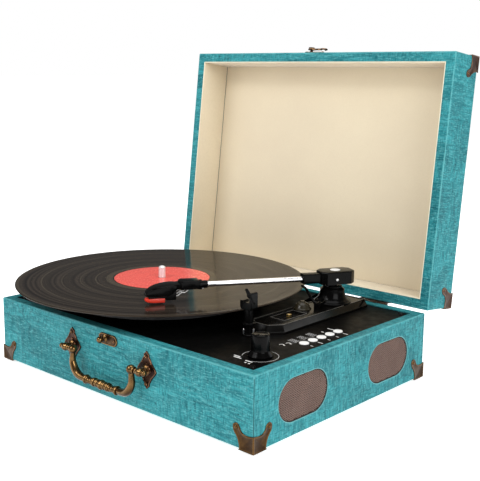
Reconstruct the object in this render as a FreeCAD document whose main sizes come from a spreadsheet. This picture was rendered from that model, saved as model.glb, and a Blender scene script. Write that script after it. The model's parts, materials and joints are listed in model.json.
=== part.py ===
import FreeCAD, Part
import math
import os
import re
import Sketcher

# Suitcase record player with its lid open and a record on the platter.
# Millimetres. +X runs along the front (handle) face, +Y towards the hinges, +Z up.
# The origin is the middle of the case, on the surface that the feet stand on.

Vector = FreeCAD.Vector
Rotation = FreeCAD.Rotation
Placement = FreeCAD.Placement
X_AXIS = Vector(1, 0, 0)
Y_AXIS = Vector(0, 1, 0)
Z_AXIS = Vector(0, 0, 1)

SIZES = {
    # case
    "caseWidth": 350, "caseDepth": 255, "baseHeight": 64.8, "wall": 10, "edgeRound": 1.2,
    "floorThick": 5, "footHeight": 3, "footRadius": 9, "footInset": 30,
    # deck plate
    "plateThick": 2.5, "plateDrop": 1, "plateGap": 0.3, "blockSize": 14, "screwInset": 7,
    "screwHead": 2.8, "screwShank": 1.4, "screwDeep": 8, "screwCrown": 1.4,
    # speakers in the right wall
    "speakerLong": 66.6, "speakerBelow": 12.5, "speakerAbove": 13.7, "speakerGap": 1.7,
    "grilleThick": 1.2, "grilleRecess": 0.8, "frameMargin": 4.5, "frameThick": 1.5,
    "coneDeep": 11, "magnetRadius": 14, "magnetThick": 8,
    # platter and record
    "spindleAside": 159.3, "spindleAhead": 84, "spindleRadius": 3.55, "spindleRise": 12.5,
    "shaftWide": 4, "neckRadius": 3.2,
    "recordLift": 20, "recordRadius": 150.5, "recordThick": 1.6, "labelRadius": 50,
    "labelThick": 0.15, "labelRecess": 0.1, "matThick": 2, "platterRadius": 107,
    "platterTall": 12.5, "platterWeb": 3, "rimThick": 2.5, "ringRadius": 70, "ringThick": 3,
    "bushRadius": 6, "hubWall": 3, "collarRadius": 7, "collarTall": 3, "nutTall": 4.3,
    "spindleTail": 2,
    "tipTall": 1.5, "ringFoot": 1.5, "bushGap": 0.2,
    # drive
    "motorAside": 65.1, "motorBehind": 65, "motorRadius": 16, "motorTall": 24, "pulleyRadius": 4,
    "pulleyFlange": 1.6, "flangeThick": 0.9, "shaftRadius": 1, "shaftDeep": 10, "beltRise": 2,
    "beltWide": 4, "beltThick": 0.6, "beltGap": 0.15,
    # tonearm
    "pivotIn": 77, "pivotBack": 50.5, "armReach": 188.8, "playAngle": 27.8, "armRise": 1.3,
    "armAbove": 11.95, "tubeRadius": 2.75, "tubeBore": 2.2, "socketStart": 13, "socketEnd": 33,
    "collarStart": 131.5, "collarGrip": 5, "headStart": 140, "headEnd": 191.8, "headWide": 18,
    "capBack": 21, "capFront": 15, "capHalf": 11, "capBelow": 5.05, "capAbove": 7.75,
    "capWall": 3, "capChamfer": 6, "noseChamfer": 4, "pinRadius": 1.5, "stylusGap": 0.35,
    "socketWide": 9.5, "socketTall": 9.8, "socketBelow": 4.4, "tubeGrip": 14, "headCollar": 4.8,
    "cartridgeWide": 12, "cartridgeLong": 10, "cartridgeBelow": 12.4, "stylusWide": 9,
    "stylusBelow": 14.8, "needleRadius": 0.7, "pointRadius": 0.15,
    # tonearm base
    "plinthAside": 18, "plinthBeside": 21.5, "plinthAhead": 113, "plinthBehind": 35,
    "plinthTall": 8.2, "plinthDraft": 3.5, "plinthTop": 3, "plinthRound": 10,
    "turretTall": 15.4, "turretFoot": 15.8, "turretTop": 9.8, "discOver": 3.2, "discTall": 1.6,
    "yokeRadius": 4, "yokeHead": 4.6, "yokePlate": 1.2, "yokeGap": 0.3,
    "recessAside": 1.5, "recessAhead": 70, "recessWide": 16, "recessLong": 32, "recessDeep": 1.5,
    "leverTravel": 14, "leverNeck": 3, "gripWide": 5.5, "gripDeep": 5, "gripTall": 2.6,
    "leverFoot": 9, "leverThick": 1.5,
    # arm rest, clip and cue lever
    "restAside": 1.4, "restAhead": 123.7, "restRadius": 4.2, "restWide": 14, "restDeep": 9,
    "tineWide": 3, "clipThick": 2, "clipAbove": 5.55, "restFlange": 2, "flangeTall": 1.6,
    "restRingRise": 9.5, "restRingTall": 2.6, "forkDeep": 9, "forkFloor": 2.2, "forkLow": 0.5,
    "clipPin": 0.9, "clipBoss": 1.9, "clipGap": 0.25,
    "cueAside": 6, "cueAhead": 30, "cueBelow": 21.55, "cueThick": 2.8, "cuePin": 1.2, "cueBoss": 2.9,
    "earWide": 6, "earThick": 2, "earOver": 2.5,
    # controls
    "knobIn": 31, "knobAhead": 42.8, "knobRadius": 8, "knobTall": 19.4, "knobFoot": 11,
    "knobFlange": 1.2, "knobFlare": 4.6, "knobGap": 0.4, "stemRadius": 3, "stemDeep": 3,
    "potSize": 17, "potTall": 9,
    "buttonIn": 26.7, "buttonY": -31.3, "buttonPitch": 12.5, "buttonRadius": 4.4,
    "buttonRise": 1, "buttonTravel": 0.7, "boardThick": 1.6, "boardDrop": 9,
    "buttonFlange": 1, "flangeTop": 0.8, "switchSize": 6, "switchTall": 5, "boardWide": 20,
    "mainWide": 96, "mainDeep": 62, "mainX": -10, "mainY": -30, "mainRise": 4,
    # rear sockets
    "jackX": -55, "jackRise": 30, "jackPanelWide": 72, "jackPanelTall": 32,
    "jackPanelThick": 1.5, "jackLip": 5, "jackBody": 5, "phoneBore": 1.8, "powerBore": 2.8,
    "powerDeep": 9, "sleeveRadius": 4.15,
    "sleeveLong": 8, "jackPitch": 18,
    # lid
    "lidHeight": 45.6, "lidPanel": 4, "liningThick": 1.1, "closedGap": 0.3, "openAngle": 96.62,
    "hingeX": 111.5, "hingeWide": 33, "hingeOut": 2.8, "hingeDrop": 1.4, "barrelRadius": 2.6,
    "leafThick": 1.2, "leafTall": 18, "hingePin": 1.2, "knuckleGap": 0.15,
    # handle and latch
    "handleX": -3, "handleRise": 39.8, "handleOut": 9, "postPitch": 106, "legPitch": 83,
    "bailDrop": 24.8, "bailRadius": 3.1, "bailBend": 12, "diamondTall": 35, "diamondWide": 25,
    "diamondThick": 1.5, "bailPin": 1.6, "catchBelow": 8.8, "catchLong": 26, "catchTall": 10.5,
    "catchThick": 1.2, "catchOffset": 5, "catchNeck": 1.9, "catchNeckLong": 5, "catchBall": 3.1,
    "latchIn": 8.6, "latchStub": 1.5, "hookLong": 17, "hookEye": 3.9, "hookCurl": 4.3,
    "hookThick": 1.8, "hookTall": 3, "hookOut": 2.2, "screwRadius": 1.5, "screwTall": 0.8,
    "padThick": 0.7, "postNeck": 2.6, "postFoot": 4.2, "postBall": 3.6, "postWide": 5.6,
    "elbowBall": 3.9, "innerBall": 3.2, "outerBall": 2.7, "ringPitch": 22,
    # corner guards
    "guardThick": 0.8, "guardLong": 16, "guardEdge": 12.5, "lobeUp": 17, "lobeRadius": 4.5,
    "nailRadius": 1.8, "nailTall": 1.1,
    # clearances
    "runGap": 0.05, "fitGap": 0.02, "partGap": 0.3,
}

doc = FreeCAD.newDocument("SuitcaseRecordPlayer")
sheet = doc.addObject("Spreadsheet::Sheet", "Sizes")
for row, (alias, value) in enumerate(SIZES.items(), start=1):
    sheet.set(f"A{row}", alias)
    sheet.set(f"B{row}", str(value))
    sheet.setAlias(f"B{row}", alias)
doc.recompute()

parts = []


# ---------------------------------------------------------------- helpers
def sheetText(text):
    """An expression with every alias pointed at the sheet."""
    return re.sub(r"[A-Za-z]\w*", lambda m: "Sizes." + m[0] if m[0] in SIZES else m[0], str(text))


def val(text):
    return float(sheet.evalExpression(sheetText(text)))


def bind(obj, **sizes):
    for prop, text in sizes.items():
        obj.setExpression(prop.replace("_", "."), sheetText(text))


def at(obj, x=0, y=0, z=0):
    bind(obj, Placement_Base_x=x, Placement_Base_y=y, Placement_Base_z=z)
    return obj


def keep(obj, label):
    obj.Label = label
    parts.append(obj)
    return obj


def box(length, width, height, x, y, z):
    """A box whose x, y is the middle of its foot and z its foot."""
    obj = doc.addObject("Part::Box", "Block")
    bind(obj, Length=length, Width=width, Height=height)
    return at(obj, f"({x}) - ({length}) / 2", f"({y}) - ({width}) / 2", z)


def rod(radius, height, x, y, z, axis=Z_AXIS):
    obj = doc.addObject("Part::Cylinder", "Rod")
    bind(obj, Radius=radius, Height=height)
    obj.Placement = Placement(Vector(), Rotation(Z_AXIS, axis))
    return at(obj, x, y, z)


def fuse(*shapes):
    obj = doc.addObject("Part::MultiFuse", "Joined")
    obj.Shapes = list(shapes)
    return obj


def group(*shapes):
    obj = doc.addObject("Part::Compound", "Group")
    obj.Links = list(shapes)
    return obj


def cut(base, *tools):
    obj = doc.addObject("Part::Cut", "Cut")
    obj.Base = base
    obj.Tool = tools[0] if len(tools) == 1 else fuse(*tools)
    return obj


def plane(body, role):
    return next(f for f in body.Origin.OriginFeatures if f.Role == role)


def sketchOn(body, role, points):
    """A closed outline on one of the body's planes, every corner held by two sizes."""
    sketch = body.newObject("Sketcher::SketchObject", "Outline")
    sketch.AttachmentSupport = (plane(body, role), "")
    sketch.MapMode = "FlatFace"
    spots = [Vector(val(u), val(v), 0) for u, v in points]
    for start, end in zip(spots, spots[1:] + spots[:1]):
        sketch.addGeometry(Part.LineSegment(start, end))
    for i in range(len(spots)):
        sketch.addConstraint(Sketcher.Constraint("Coincident", i, 2, (i + 1) % len(spots), 1))
    for i, (corner, spot) in enumerate(zip(points, spots)):
        for side, text, number in zip(("DistanceX", "DistanceY"), corner, (spot.x, spot.y)):
            index = sketch.addConstraint(Sketcher.Constraint(side, -1, 1, i, 1, number))
            sketch.setExpression(f"Constraints[{index}]", sheetText(text))
    return sketch


def turned(profile, x, y, z):
    """A body of revolution about its own Z, from (radius, height) corners."""
    body = doc.addObject("PartDesign::Body", "Turned")
    sketch = sketchOn(body, "XZ_Plane", profile)
    spin = body.newObject("PartDesign::Revolution", "Spin")
    spin.Profile = sketch
    spin.ReferenceAxis = (sketch, ["V_Axis"])
    spin.Angle = 360
    body.Tip = spin
    return at(body, x, y, z)


def solid(shape, label, place=None):
    """A shape made by code, placed after it is set."""
    obj = doc.addObject("Part::Feature", "Shaped")
    obj.Shape = shape
    if place:
        obj.Placement = place
    return keep(obj, label) if label else obj


def roundEdges(shape, radius, wanted):
    edges = [e for e in shape.Edges if wanted(e)]
    return shape.makeFillet(radius, edges) if radius > 0 else shape


def stadium(long, tall, thick, centre, normal=X_AXIS, along=Y_AXIS):
    """A plate with round ends: its long side runs along one axis, its thickness along normal."""
    flat = (long - tall) / 2
    up = normal.cross(along)
    spots = [centre + along * (flat * i) + up * (tall / 2 * j) for i, j in
             ((-1, -1), (1, -1), (1, 1), (-1, 1))]
    tips = [centre + along * (long / 2 * i) for i in (1, -1)]
    edges = [Part.LineSegment(spots[0], spots[1]), Part.Arc(spots[1], tips[0], spots[2]),
             Part.LineSegment(spots[2], spots[3]), Part.Arc(spots[3], tips[1], spots[0])]
    wire = Part.Wire([e.toShape() for e in edges])
    return Part.Face(wire).extrude(normal * thick)


def dome(radius, tall, centre, normal):
    """A round nail head: a slice of a ball."""
    ball = (radius ** 2 + tall ** 2) / (2 * tall)
    head = Part.makeSphere(ball, centre + normal * (tall - ball))
    return head.common(Part.makeCylinder(2 * ball, 2 * ball, centre, normal))


def outlineFace(points, arcs=()):
    """A face from corners; a corner whose number is in arcs is the middle of an arc."""
    edges = []
    i = 0
    while i < len(points):
        after = (i + 1) % len(points)
        if after in arcs:
            last = (i + 2) % len(points)
            edges.append(Part.Arc(points[i], points[after], points[last]).toShape())
            i += 2
        else:
            edges.append(Part.LineSegment(points[i], points[after]).toShape())
            i += 1
    return Part.Face(Part.Wire(edges))


# levels used by many pieces
rimZ = "(footHeight + baseHeight)"
deckZ = f"({rimZ} - plateDrop)"
underDeck = f"({deckZ} - plateThick)"
floorZ = "(footHeight + floorThick)"
recordTop = f"({rimZ} + recordLift)"
hingeY = "(caseDepth / 2 + hingeOut)"
hingeZ = f"({rimZ} - hingeDrop)"
lidRim = f"({rimZ} + closedGap)"
frontY = "(-caseDepth / 2)"

# the arm's pivot stands a set way in from the right and back walls; the record, the motor and
# the arm's fittings are placed from it, and the controls from the walls beside them
pivotX = "(caseWidth / 2 - pivotIn)"
pivotY = "(caseDepth / 2 - pivotBack)"
pivotZ = f"({recordTop} + armAbove)"
spindleX = f"({pivotX} - spindleAside)"
spindleY = f"({pivotY} - spindleAhead)"
motorX = f"({spindleX} - motorAside)"
motorY = f"({spindleY} + motorBehind)"
plinthLeft = f"({pivotX} - plinthAside)"
plinthRight = f"({pivotX} + plinthBeside)"
plinthFront = f"({pivotY} - plinthAhead)"
plinthBack = f"({pivotY} + plinthBehind)"
recessX = f"({pivotX} + recessAside)"
recessY = f"({pivotY} - recessAhead)"
restX = f"({pivotX} - restAside)"
restY = f"({pivotY} - restAhead)"
cueX = f"({pivotX} + cueAside)"
cueY = f"({pivotY} - cueAhead)"
cueZ = f"({pivotZ} - cueBelow)"
clipZ = f"({pivotZ} + clipAbove)"
knobX = "(caseWidth / 2 - knobIn)"
knobY = "(knobAhead - caseDepth / 2)"
buttonX = "(caseWidth / 2 - buttonIn)"
catchZ = f"({rimZ} - catchBelow)"

# a speaker opening leaves the same board below and above it, and its frame clears the corner block
speakerTall = "(baseHeight - speakerBelow - speakerAbove)"
speakerZ = f"(footHeight + speakerBelow + {speakerTall} / 2)"
speakerY = "(caseDepth / 2 - wall - blockSize - speakerGap - frameMargin - speakerLong / 2)"


# ---------------------------------------------------------------- case
def makeCase():
    width, depth, tall = val("caseWidth"), val("caseDepth"), val("baseHeight")
    wall = val("wall")
    outer = Part.makeBox(width, depth, tall, Vector(-width / 2, -depth / 2, val("footHeight")))
    outer = roundEdges(outer, val("edgeRound"), lambda e: True)
    inner = Part.makeBox(width - 2 * wall, depth - 2 * wall, tall + 2,
                         Vector(wall - width / 2, wall - depth / 2, val("footHeight") - 1))
    shell = outer.cut(inner)
    for side in (-1, 1):
        centre = Vector(width / 2 - 2 * wall, side * val(speakerY), val(speakerZ))
        shell = shell.cut(stadium(val("speakerLong"), val(speakerTall), 3 * wall, centre))
    panelWide, panelTall = val("jackPanelWide - 2 * jackLip"), val("jackPanelTall - 2 * jackLip")
    window = Part.makeBox(panelWide, 3 * wall, panelTall,
                          Vector(val("jackX") - panelWide / 2, depth / 2 - 2 * wall,
                                 val("footHeight + jackRise") - panelTall / 2))
    solid(shell.cut(window), "base_case")

    keep(box("caseWidth - 2 * wall", "caseDepth - 2 * wall", "floorThick", 0, 0, "footHeight"),
         "bottom_panel")
    spread = [(i, j) for i in (-1, 1) for j in (-1, 1)]
    footProfile = [(0, 0), ("footRadius - 1", 0), ("footRadius", "footHeight"), (0, "footHeight")]
    # one foot near each corner, and one under the middle that keeps the panel from sagging
    keep(group(*[turned(footProfile, f"{i} * (caseWidth / 2 - footInset)",
                        f"{j} * (caseDepth / 2 - footInset)", 0) for i, j in spread + [(0, 0)]]),
         "rubber_feet")

    blockX, blockY = "(caseWidth / 2 - wall - blockSize / 2)", "(caseDepth / 2 - wall - blockSize / 2)"
    screwX, screwY = "(caseWidth / 2 - wall - screwInset)", "(caseDepth / 2 - wall - screwInset)"
    hole, shank = "screwShank + runGap", "plateThick + screwDeep"
    blocks = []
    screws = []
    for i, j in spread:
        block = box("blockSize", "blockSize", f"{underDeck} - {floorZ}",
                    f"{i} * {blockX}", f"{j} * {blockY}", floorZ)
        blocks.append(cut(block, rod(hole, "screwDeep + 4", f"{i} * {screwX}", f"{j} * {screwY}",
                                     f"{underDeck} - screwDeep - 3")))
        screws.append(turned([(0, 0), ("screwShank", 0), ("screwShank", shank), ("screwHead", shank),
                              ("screwHead - 0.6", f"{shank} + screwCrown"),
                              (0, f"{shank} + screwCrown")],
                             f"{i} * {screwX}", f"{j} * {screwY}", f"{underDeck} - screwDeep"))
    keep(group(*blocks), "corner_blocks")
    keep(group(*screws), "plate_screws")

    plate = box("caseWidth - 2 * wall - 2 * plateGap", "caseDepth - 2 * wall - 2 * plateGap",
                "plateThick", 0, 0, underDeck)
    below = f"{underDeck} - 1"
    holes = [rod(hole, "plateThick + 2", f"{i} * {screwX}", f"{j} * {screwY}", below)
             for i, j in spread]
    holes.append(rod("shaftWide + runGap", "plateThick + 2", spindleX, spindleY, below))
    holes.append(rod("pulleyRadius + 2", "plateThick + 2", motorX, motorY, below))
    holes.append(rod("stemRadius + partGap", "plateThick + 2", knobX, knobY, below))
    for n in range(5):
        holes.append(rod("buttonRadius + partGap", "plateThick + 2", buttonX,
                         f"buttonY + {n} * buttonPitch", below))
    keep(cut(plate, *holes), "top_plate")


def guardShape():
    """One corner guard at a corner whose three outer faces meet at the origin, case towards +X +Y +Z."""
    thick, long, edge = val("guardThick"), val("guardLong"), val("guardEdge")
    up, lobe = val("lobeUp"), val("lobeRadius")

    def face(u, v):
        spots = [(-thick, -thick), (long, -thick), (long + lobe * 0.3, up / 2), (long + lobe, up),
                 (long, up + lobe), (long - lobe, up), (long * 0.5, edge + 0.9), (-thick, edge)]
        return outlineFace([u * a + v * b for a, b in spots], arcs=(4,))

    front = face(X_AXIS, Z_AXIS).extrude(-Y_AXIS * thick)
    side = face(Y_AXIS, Z_AXIS).extrude(-X_AXIS * thick)
    foot = outlineFace([Vector(-thick, -thick, 0), Vector(long, -thick, 0), Vector(edge, edge * 0.55, 0),
                        Vector(edge * 0.55, edge, 0), Vector(-thick, long, 0)])
    return front.fuse([side, foot.extrude(-Z_AXIS * thick)]).removeSplitter()


def cornerGuards(label, nails, footZ, upward, place=None):
    """Four guards and their nails; the corner block stands up or hangs down from footZ."""
    guard = guardShape()
    heads = []
    for u, v in ((X_AXIS, Y_AXIS), (Y_AXIS, X_AXIS)):
        spot = u * val("guardLong") + Z_AXIS * val("lobeUp") - v * val("guardThick")
        heads.append(dome(val("nailRadius"), val("nailTall"), spot, -v))
    nailSet = Part.Compound(heads)
    shapes, nailShapes = [], []
    for i in (1, -1):
        for j in (1, -1):
            for source, target in ((guard, shapes), (nailSet, nailShapes)):
                copy = source.copy()
                if i < 0:
                    copy = copy.mirror(Vector(), X_AXIS)
                if j < 0:
                    copy = copy.mirror(Vector(), Y_AXIS)
                if not upward:
                    copy = copy.mirror(Vector(), Z_AXIS)
                copy.translate(Vector(-i * val("caseWidth / 2"), -j * val("caseDepth / 2"), footZ))
                target.append(copy)
    solid(Part.Compound(shapes), label, place)
    solid(Part.Compound([s for c in nailShapes for s in c.Solids]), nails, place)


# ---------------------------------------------------------------- sound
def makeSpeakers():
    wallIn = val("caseWidth / 2 - wall")
    centreZ = val(speakerZ)
    long, tall = val("speakerLong"), val(speakerTall)
    gap, margin, thick = val("plateGap"), val("frameMargin"), val("frameThick")
    deep, magnet = val("coneDeep"), val("magnetRadius")
    grilles, frames, cones = [], [], []
    for side in (-1, 1):
        y = side * val(speakerY)
        face = Vector(val("caseWidth / 2 - grilleRecess - grilleThick"), y, centreZ)
        grilles.append(stadium(long - 2 * gap, tall - 2 * gap, val("grilleThick"), face))
        centre = Vector(wallIn, y, centreZ)
        radius = tall / 2 - 1.5
        bowl = Part.makeCone(magnet * 0.8, radius + 1.5, deep, centre - X_AXIS * deep, X_AXIS)
        hollow = Part.makeCone(magnet * 0.8 - 1, radius + 0.5, deep, centre - X_AXIS * deep, X_AXIS)
        flange = stadium(long + 2 * margin, tall + 2 * margin, thick, centre - X_AXIS * thick)
        mouth = Part.makeCylinder(radius, 3 * thick, centre - X_AXIS * 2 * thick, X_AXIS)
        frame = flange.fuse(bowl).cut(hollow.fuse(mouth))
        frames.append(frame)
        frames.append(Part.makeCylinder(magnet, val("magnetThick"),
                                        centre - X_AXIS * (deep + val("magnetThick")), X_AXIS))
        outerCone = Part.makeCone(magnet * 0.55, radius - 0.5, deep - 2,
                                  centre - X_AXIS * (deep - 0.5), X_AXIS)
        innerCone = Part.makeCone(magnet * 0.55 - 0.8, radius - 1.3, deep - 2,
                                  centre - X_AXIS * (deep - 0.5), X_AXIS)
        cap = Part.makeCylinder(magnet * 0.5, 1, centre - X_AXIS * (deep - 0.5), X_AXIS)
        cones.append(outerCone.cut(innerCone).fuse(cap))
    solid(Part.Compound(grilles), "speaker_grilles")
    solid(Part.Compound(frames), "speaker_frames")
    solid(Part.Compound(cones), "speaker_cones")


# ---------------------------------------------------------------- platter and drive
def makePlatter():
    x, y = spindleX, spindleY
    platterZ = f"({recordTop} - recordThick - matThick - platterTall)"
    bore = "shaftWide + runGap"
    recordBore = "spindleRadius + runGap"
    web = "(platterTall - platterWeb)"
    hub = "(bushRadius + hubWall)"
    keep(turned([("bushRadius", 0), (hub, 0), (hub, web), ("ringRadius - ringThick", web),
                 ("ringRadius - ringThick", "ringFoot"), ("ringRadius", "ringFoot"), ("ringRadius", web),
                 ("platterRadius - rimThick", web), ("platterRadius - rimThick", 0),
                 ("platterRadius", 0), ("platterRadius", "platterTall"),
                 ("bushRadius", "platterTall")], x, y, platterZ), "platter")
    keep(turned([("bushRadius", 0), ("platterRadius - 1", 0), ("platterRadius - 1", "matThick"),
                 ("bushRadius", "matThick")], x, y, f"{recordTop} - recordThick - matThick"),
         "platter_mat")
    bushFoot = f"({deckZ} + collarTall + bushGap)"
    bushTall = f"({recordTop} - recordThick - matThick - {bushFoot})"
    keep(turned([(bore, 0), ("bushRadius", 0), ("bushRadius", bushTall), (bore, bushTall)],
                x, y, bushFoot), "bearing_bush")
    low, high = "(recordThick - labelRecess)", "recordThick"
    ring = "(labelRadius + fitGap)"
    keep(turned([(recordBore, 0), ("recordRadius", 0), ("recordRadius", high), (ring, high),
                 (ring, low), (recordBore, low)], x, y, f"{recordTop} - recordThick"), "vinyl_record")
    keep(turned([(recordBore, 0), ("labelRadius", 0), ("labelRadius", "labelThick"),
                 (recordBore, "labelThick")], x, y, f"{recordTop} - labelRecess"), "record_label")
    # the nut under the deck and the collar above it clamp the spindle to the plate; it is narrow
    # inside the record's hole, and the pin above it is the standard size
    foot = f"({underDeck} - nutTall - spindleTail)"
    nut, deck = "(spindleTail + nutTall)", "(spindleTail + nutTall + plateThick)"
    neck = f"({recordTop} - recordThick - partGap - {foot})"
    pin = f"({recordTop} + partGap - {foot})"
    top = f"({recordTop} + spindleRise - {foot})"
    keep(turned([(0, 0), ("shaftWide", 0), ("shaftWide", "spindleTail"), ("collarRadius", "spindleTail"),
                 ("collarRadius", nut), ("shaftWide", nut), ("shaftWide", deck),
                 ("collarRadius", deck), ("collarRadius", f"{deck} + collarTall"),
                 ("shaftWide", f"{deck} + collarTall"), ("shaftWide", neck), ("neckRadius", neck),
                 ("neckRadius", pin), ("spindleRadius", pin), ("spindleRadius", f"{top} - tipTall"),
                 ("spindleRadius * 0.6", f"{top} - 0.3"), ("spindleRadius * 0.3", top), (0, top)],
                x, y, foot), "spindle")

    keep(cut(rod("motorRadius", "motorTall", motorX, motorY, f"{underDeck} - motorTall"),
             rod("shaftRadius + runGap", "shaftDeep + 2", motorX, motorY,
                 f"{underDeck} - shaftDeep - 1")), "motor_case")
    beltZ = f"({platterZ} + beltRise)"
    side, flange = "pulleyRadius", "(pulleyRadius + pulleyFlange)"
    foot = f"({beltZ} - {underDeck} + shaftDeep - partGap)"
    head = f"({foot} + beltWide + 2 * partGap)"
    keep(turned([(0, 0), ("shaftRadius", 0), ("shaftRadius", f"{foot} - flangeThick"),
                 (flange, f"{foot} - flangeThick"), (flange, foot), (side, foot), (side, head),
                 (flange, head), (flange, f"{head} + flangeThick"), (0, f"{head} + flangeThick")],
                motorX, motorY, f"{underDeck} - shaftDeep"), "motor_pulley")
    outer = beltFace(val("beltGap + beltThick"))
    inner = beltFace(val("beltGap"))
    belt = outer.cut(inner).extrude(Z_AXIS * val("beltWide"))
    solid(belt, "drive_belt", Placement(Vector(0, 0, val(beltZ)), Rotation()))


def beltFace(extra):
    """The area that a belt encloses round the platter's ring and the motor's pulley."""
    big, small = val("ringRadius") + extra, val("pulleyRadius") + extra
    hub = Vector(val(spindleX), val(spindleY), 0)
    motor = Vector(val(motorX), val(motorY), 0)
    line = motor - hub
    heading = math.atan2(line.y, line.x)
    spread = math.acos((big - small) / line.Length)

    def spot(centre, radius, angle):
        return centre + Vector(radius * math.cos(angle), radius * math.sin(angle), 0)

    left, right = heading + spread, heading - spread
    points = [spot(hub, big, left), spot(hub, big, heading + math.pi), spot(hub, big, right),
              spot(motor, small, right), spot(motor, small, heading), spot(motor, small, left)]
    return outlineFace(points, arcs=(1, 4))


# ---------------------------------------------------------------- tonearm base and its fittings
def roundedWire(left, right, front, back, radius, z):
    face = Part.Face(Part.makePolygon([Vector(left, front, z), Vector(right, front, z),
                                       Vector(right, back, z), Vector(left, back, z),
                                       Vector(left, front, z)]))
    block = face.extrude(Z_AXIS)
    corners = [e for e in block.Edges if abs(e.tangentAt(e.FirstParameter).z) > 0.9]
    block = block.makeFillet(radius, corners)
    base = min(block.Faces, key=lambda f: f.CenterOfMass.z)
    return base.OuterWire


def makeArmBase():
    low = val(deckZ)
    tall, draft, radius = val("plinthTall"), val("plinthDraft"), val("plinthRound")
    left, right = val(plinthLeft), val(plinthRight)
    front, back = val(plinthFront), val(plinthBack)

    def block(shrink, height):
        foot = roundedWire(left + shrink, right - shrink, front + shrink, back - shrink,
                           radius - shrink, low)
        head = roundedWire(left + shrink + draft, right - shrink - draft, front + shrink + draft,
                           back - shrink - draft, radius - shrink - draft / 2, low + height)
        return Part.makeLoft([foot, head], True, True)

    hollow = block(val("plinthTop"), tall - val("plinthTop"))
    plinth = block(0, tall).cut(hollow)
    wide, long = val("recessWide"), val("recessLong")
    x, y, deep = val(recessX), val(recessY), val("recessDeep")
    plinth = plinth.cut(Part.makeBox(wide, long, deep + 1,
                                     Vector(x - wide / 2, y - long / 2, low + tall - deep)))
    neck, travel = val("leverNeck + 2 * partGap"), val("leverTravel + 5 + 2 * partGap")
    plinth = plinth.cut(Part.makeBox(neck, travel, tall + 2,
                                     Vector(x - neck / 2, y - travel / 2, low - 1)))
    # two ears carry the cue lever's pin
    earWide, earThick = val("earWide"), val("earThick")
    earTall = val(f"{cueZ} + earOver") - low - tall + 1
    inner = val("cueThick / 2 + partGap")
    for start in (inner, -inner - earThick):
        ear = Part.makeBox(earWide, earThick, earTall,
                           Vector(val(cueX) - earWide / 2, val(cueY) + start, low + tall - 1))
        plinth = plinth.fuse(ear)
    reach = inner + earThick + 1
    plinth = plinth.cut(Part.makeCylinder(val("cuePin + runGap"), 2 * reach,
                                          Vector(val(cueX), val(cueY) - reach, val(cueZ)), Y_AXIS))
    solid(plinth.removeSplitter(), "tonearm_base")

    turret = [("yokeRadius + runGap", 0), ("turretFoot + discOver", 0),
              ("turretFoot + discOver", "discTall"), ("turretFoot", "discTall + 0.6"),
              ("turretFoot * 0.55 + turretTop * 0.45", "turretTall * 0.45"),
              ("turretTop", "turretTall"), ("yokeRadius + runGap", "turretTall")]
    keep(turned(turret, pivotX, pivotY, f"{deckZ} + plinthTall"), "turret_cone")

    under = low + tall - val("plinthTop")
    footDeep, footThick = val("leverFoot"), val("leverThick")
    gripWide, gripDeep = val("gripWide"), val("gripDeep")
    gripZ = low + tall - deep + 0.4
    footZ = under - 0.2 - footThick
    foot = Part.makeBox(wide * 0.6, footDeep, footThick, Vector(x - wide * 0.3, y - footDeep / 2, footZ))
    stem = Part.makeBox(val("leverNeck"), gripDeep, gripZ + 1 - footZ - footThick / 2,
                        Vector(x - val("leverNeck / 2"), y - gripDeep / 2, footZ + footThick / 2))
    grip = Part.makeBox(gripWide, gripDeep, val("gripTall"),
                        Vector(x - gripWide / 2, y - gripDeep / 2, gripZ))
    lever = foot.fuse([stem, roundEdges(grip, 0.6, lambda e: True)])
    solid(lever.removeSplitter(), "speed_lever")


def makeCueLever():
    """A curved finger under the arm's socket, on a cross pin, with a short tail to press."""
    thick = val("cueThick")
    arm = [Vector(3, 0, -1), Vector(6.5, 0, 3.5), Vector(9, 0, 4.5), Vector(8.2, 0, 6.2),
           Vector(4.5, 0, 5.2), Vector(-2, 0, 3.2), Vector(-10, 0, 8.5), Vector(-15.5, 0, 15.8),
           Vector(-21.5, 0, 16.8), Vector(-22.4, 0, 14.4), Vector(-17.6, 0, 12.9),
           Vector(-12.4, 0, 6), Vector(-5, 0, -0.6)]
    lever = outlineFace(arm, arcs=(6, 11)).extrude(Y_AXIS * thick)
    boss = Part.makeCylinder(val("cueBoss"), thick, Vector(), Y_AXIS)
    proud = val("partGap + 0.9 * earThick")
    pin = Part.makeCylinder(val("cuePin"), thick + 2 * proud, Vector(0, -proud, 0), Y_AXIS)
    spot = Vector(val(cueX), val(cueY) - thick / 2, val(cueZ))
    solid(lever.fuse([boss, pin]).removeSplitter(), "cue_lever", Placement(spot, Rotation()))


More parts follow.
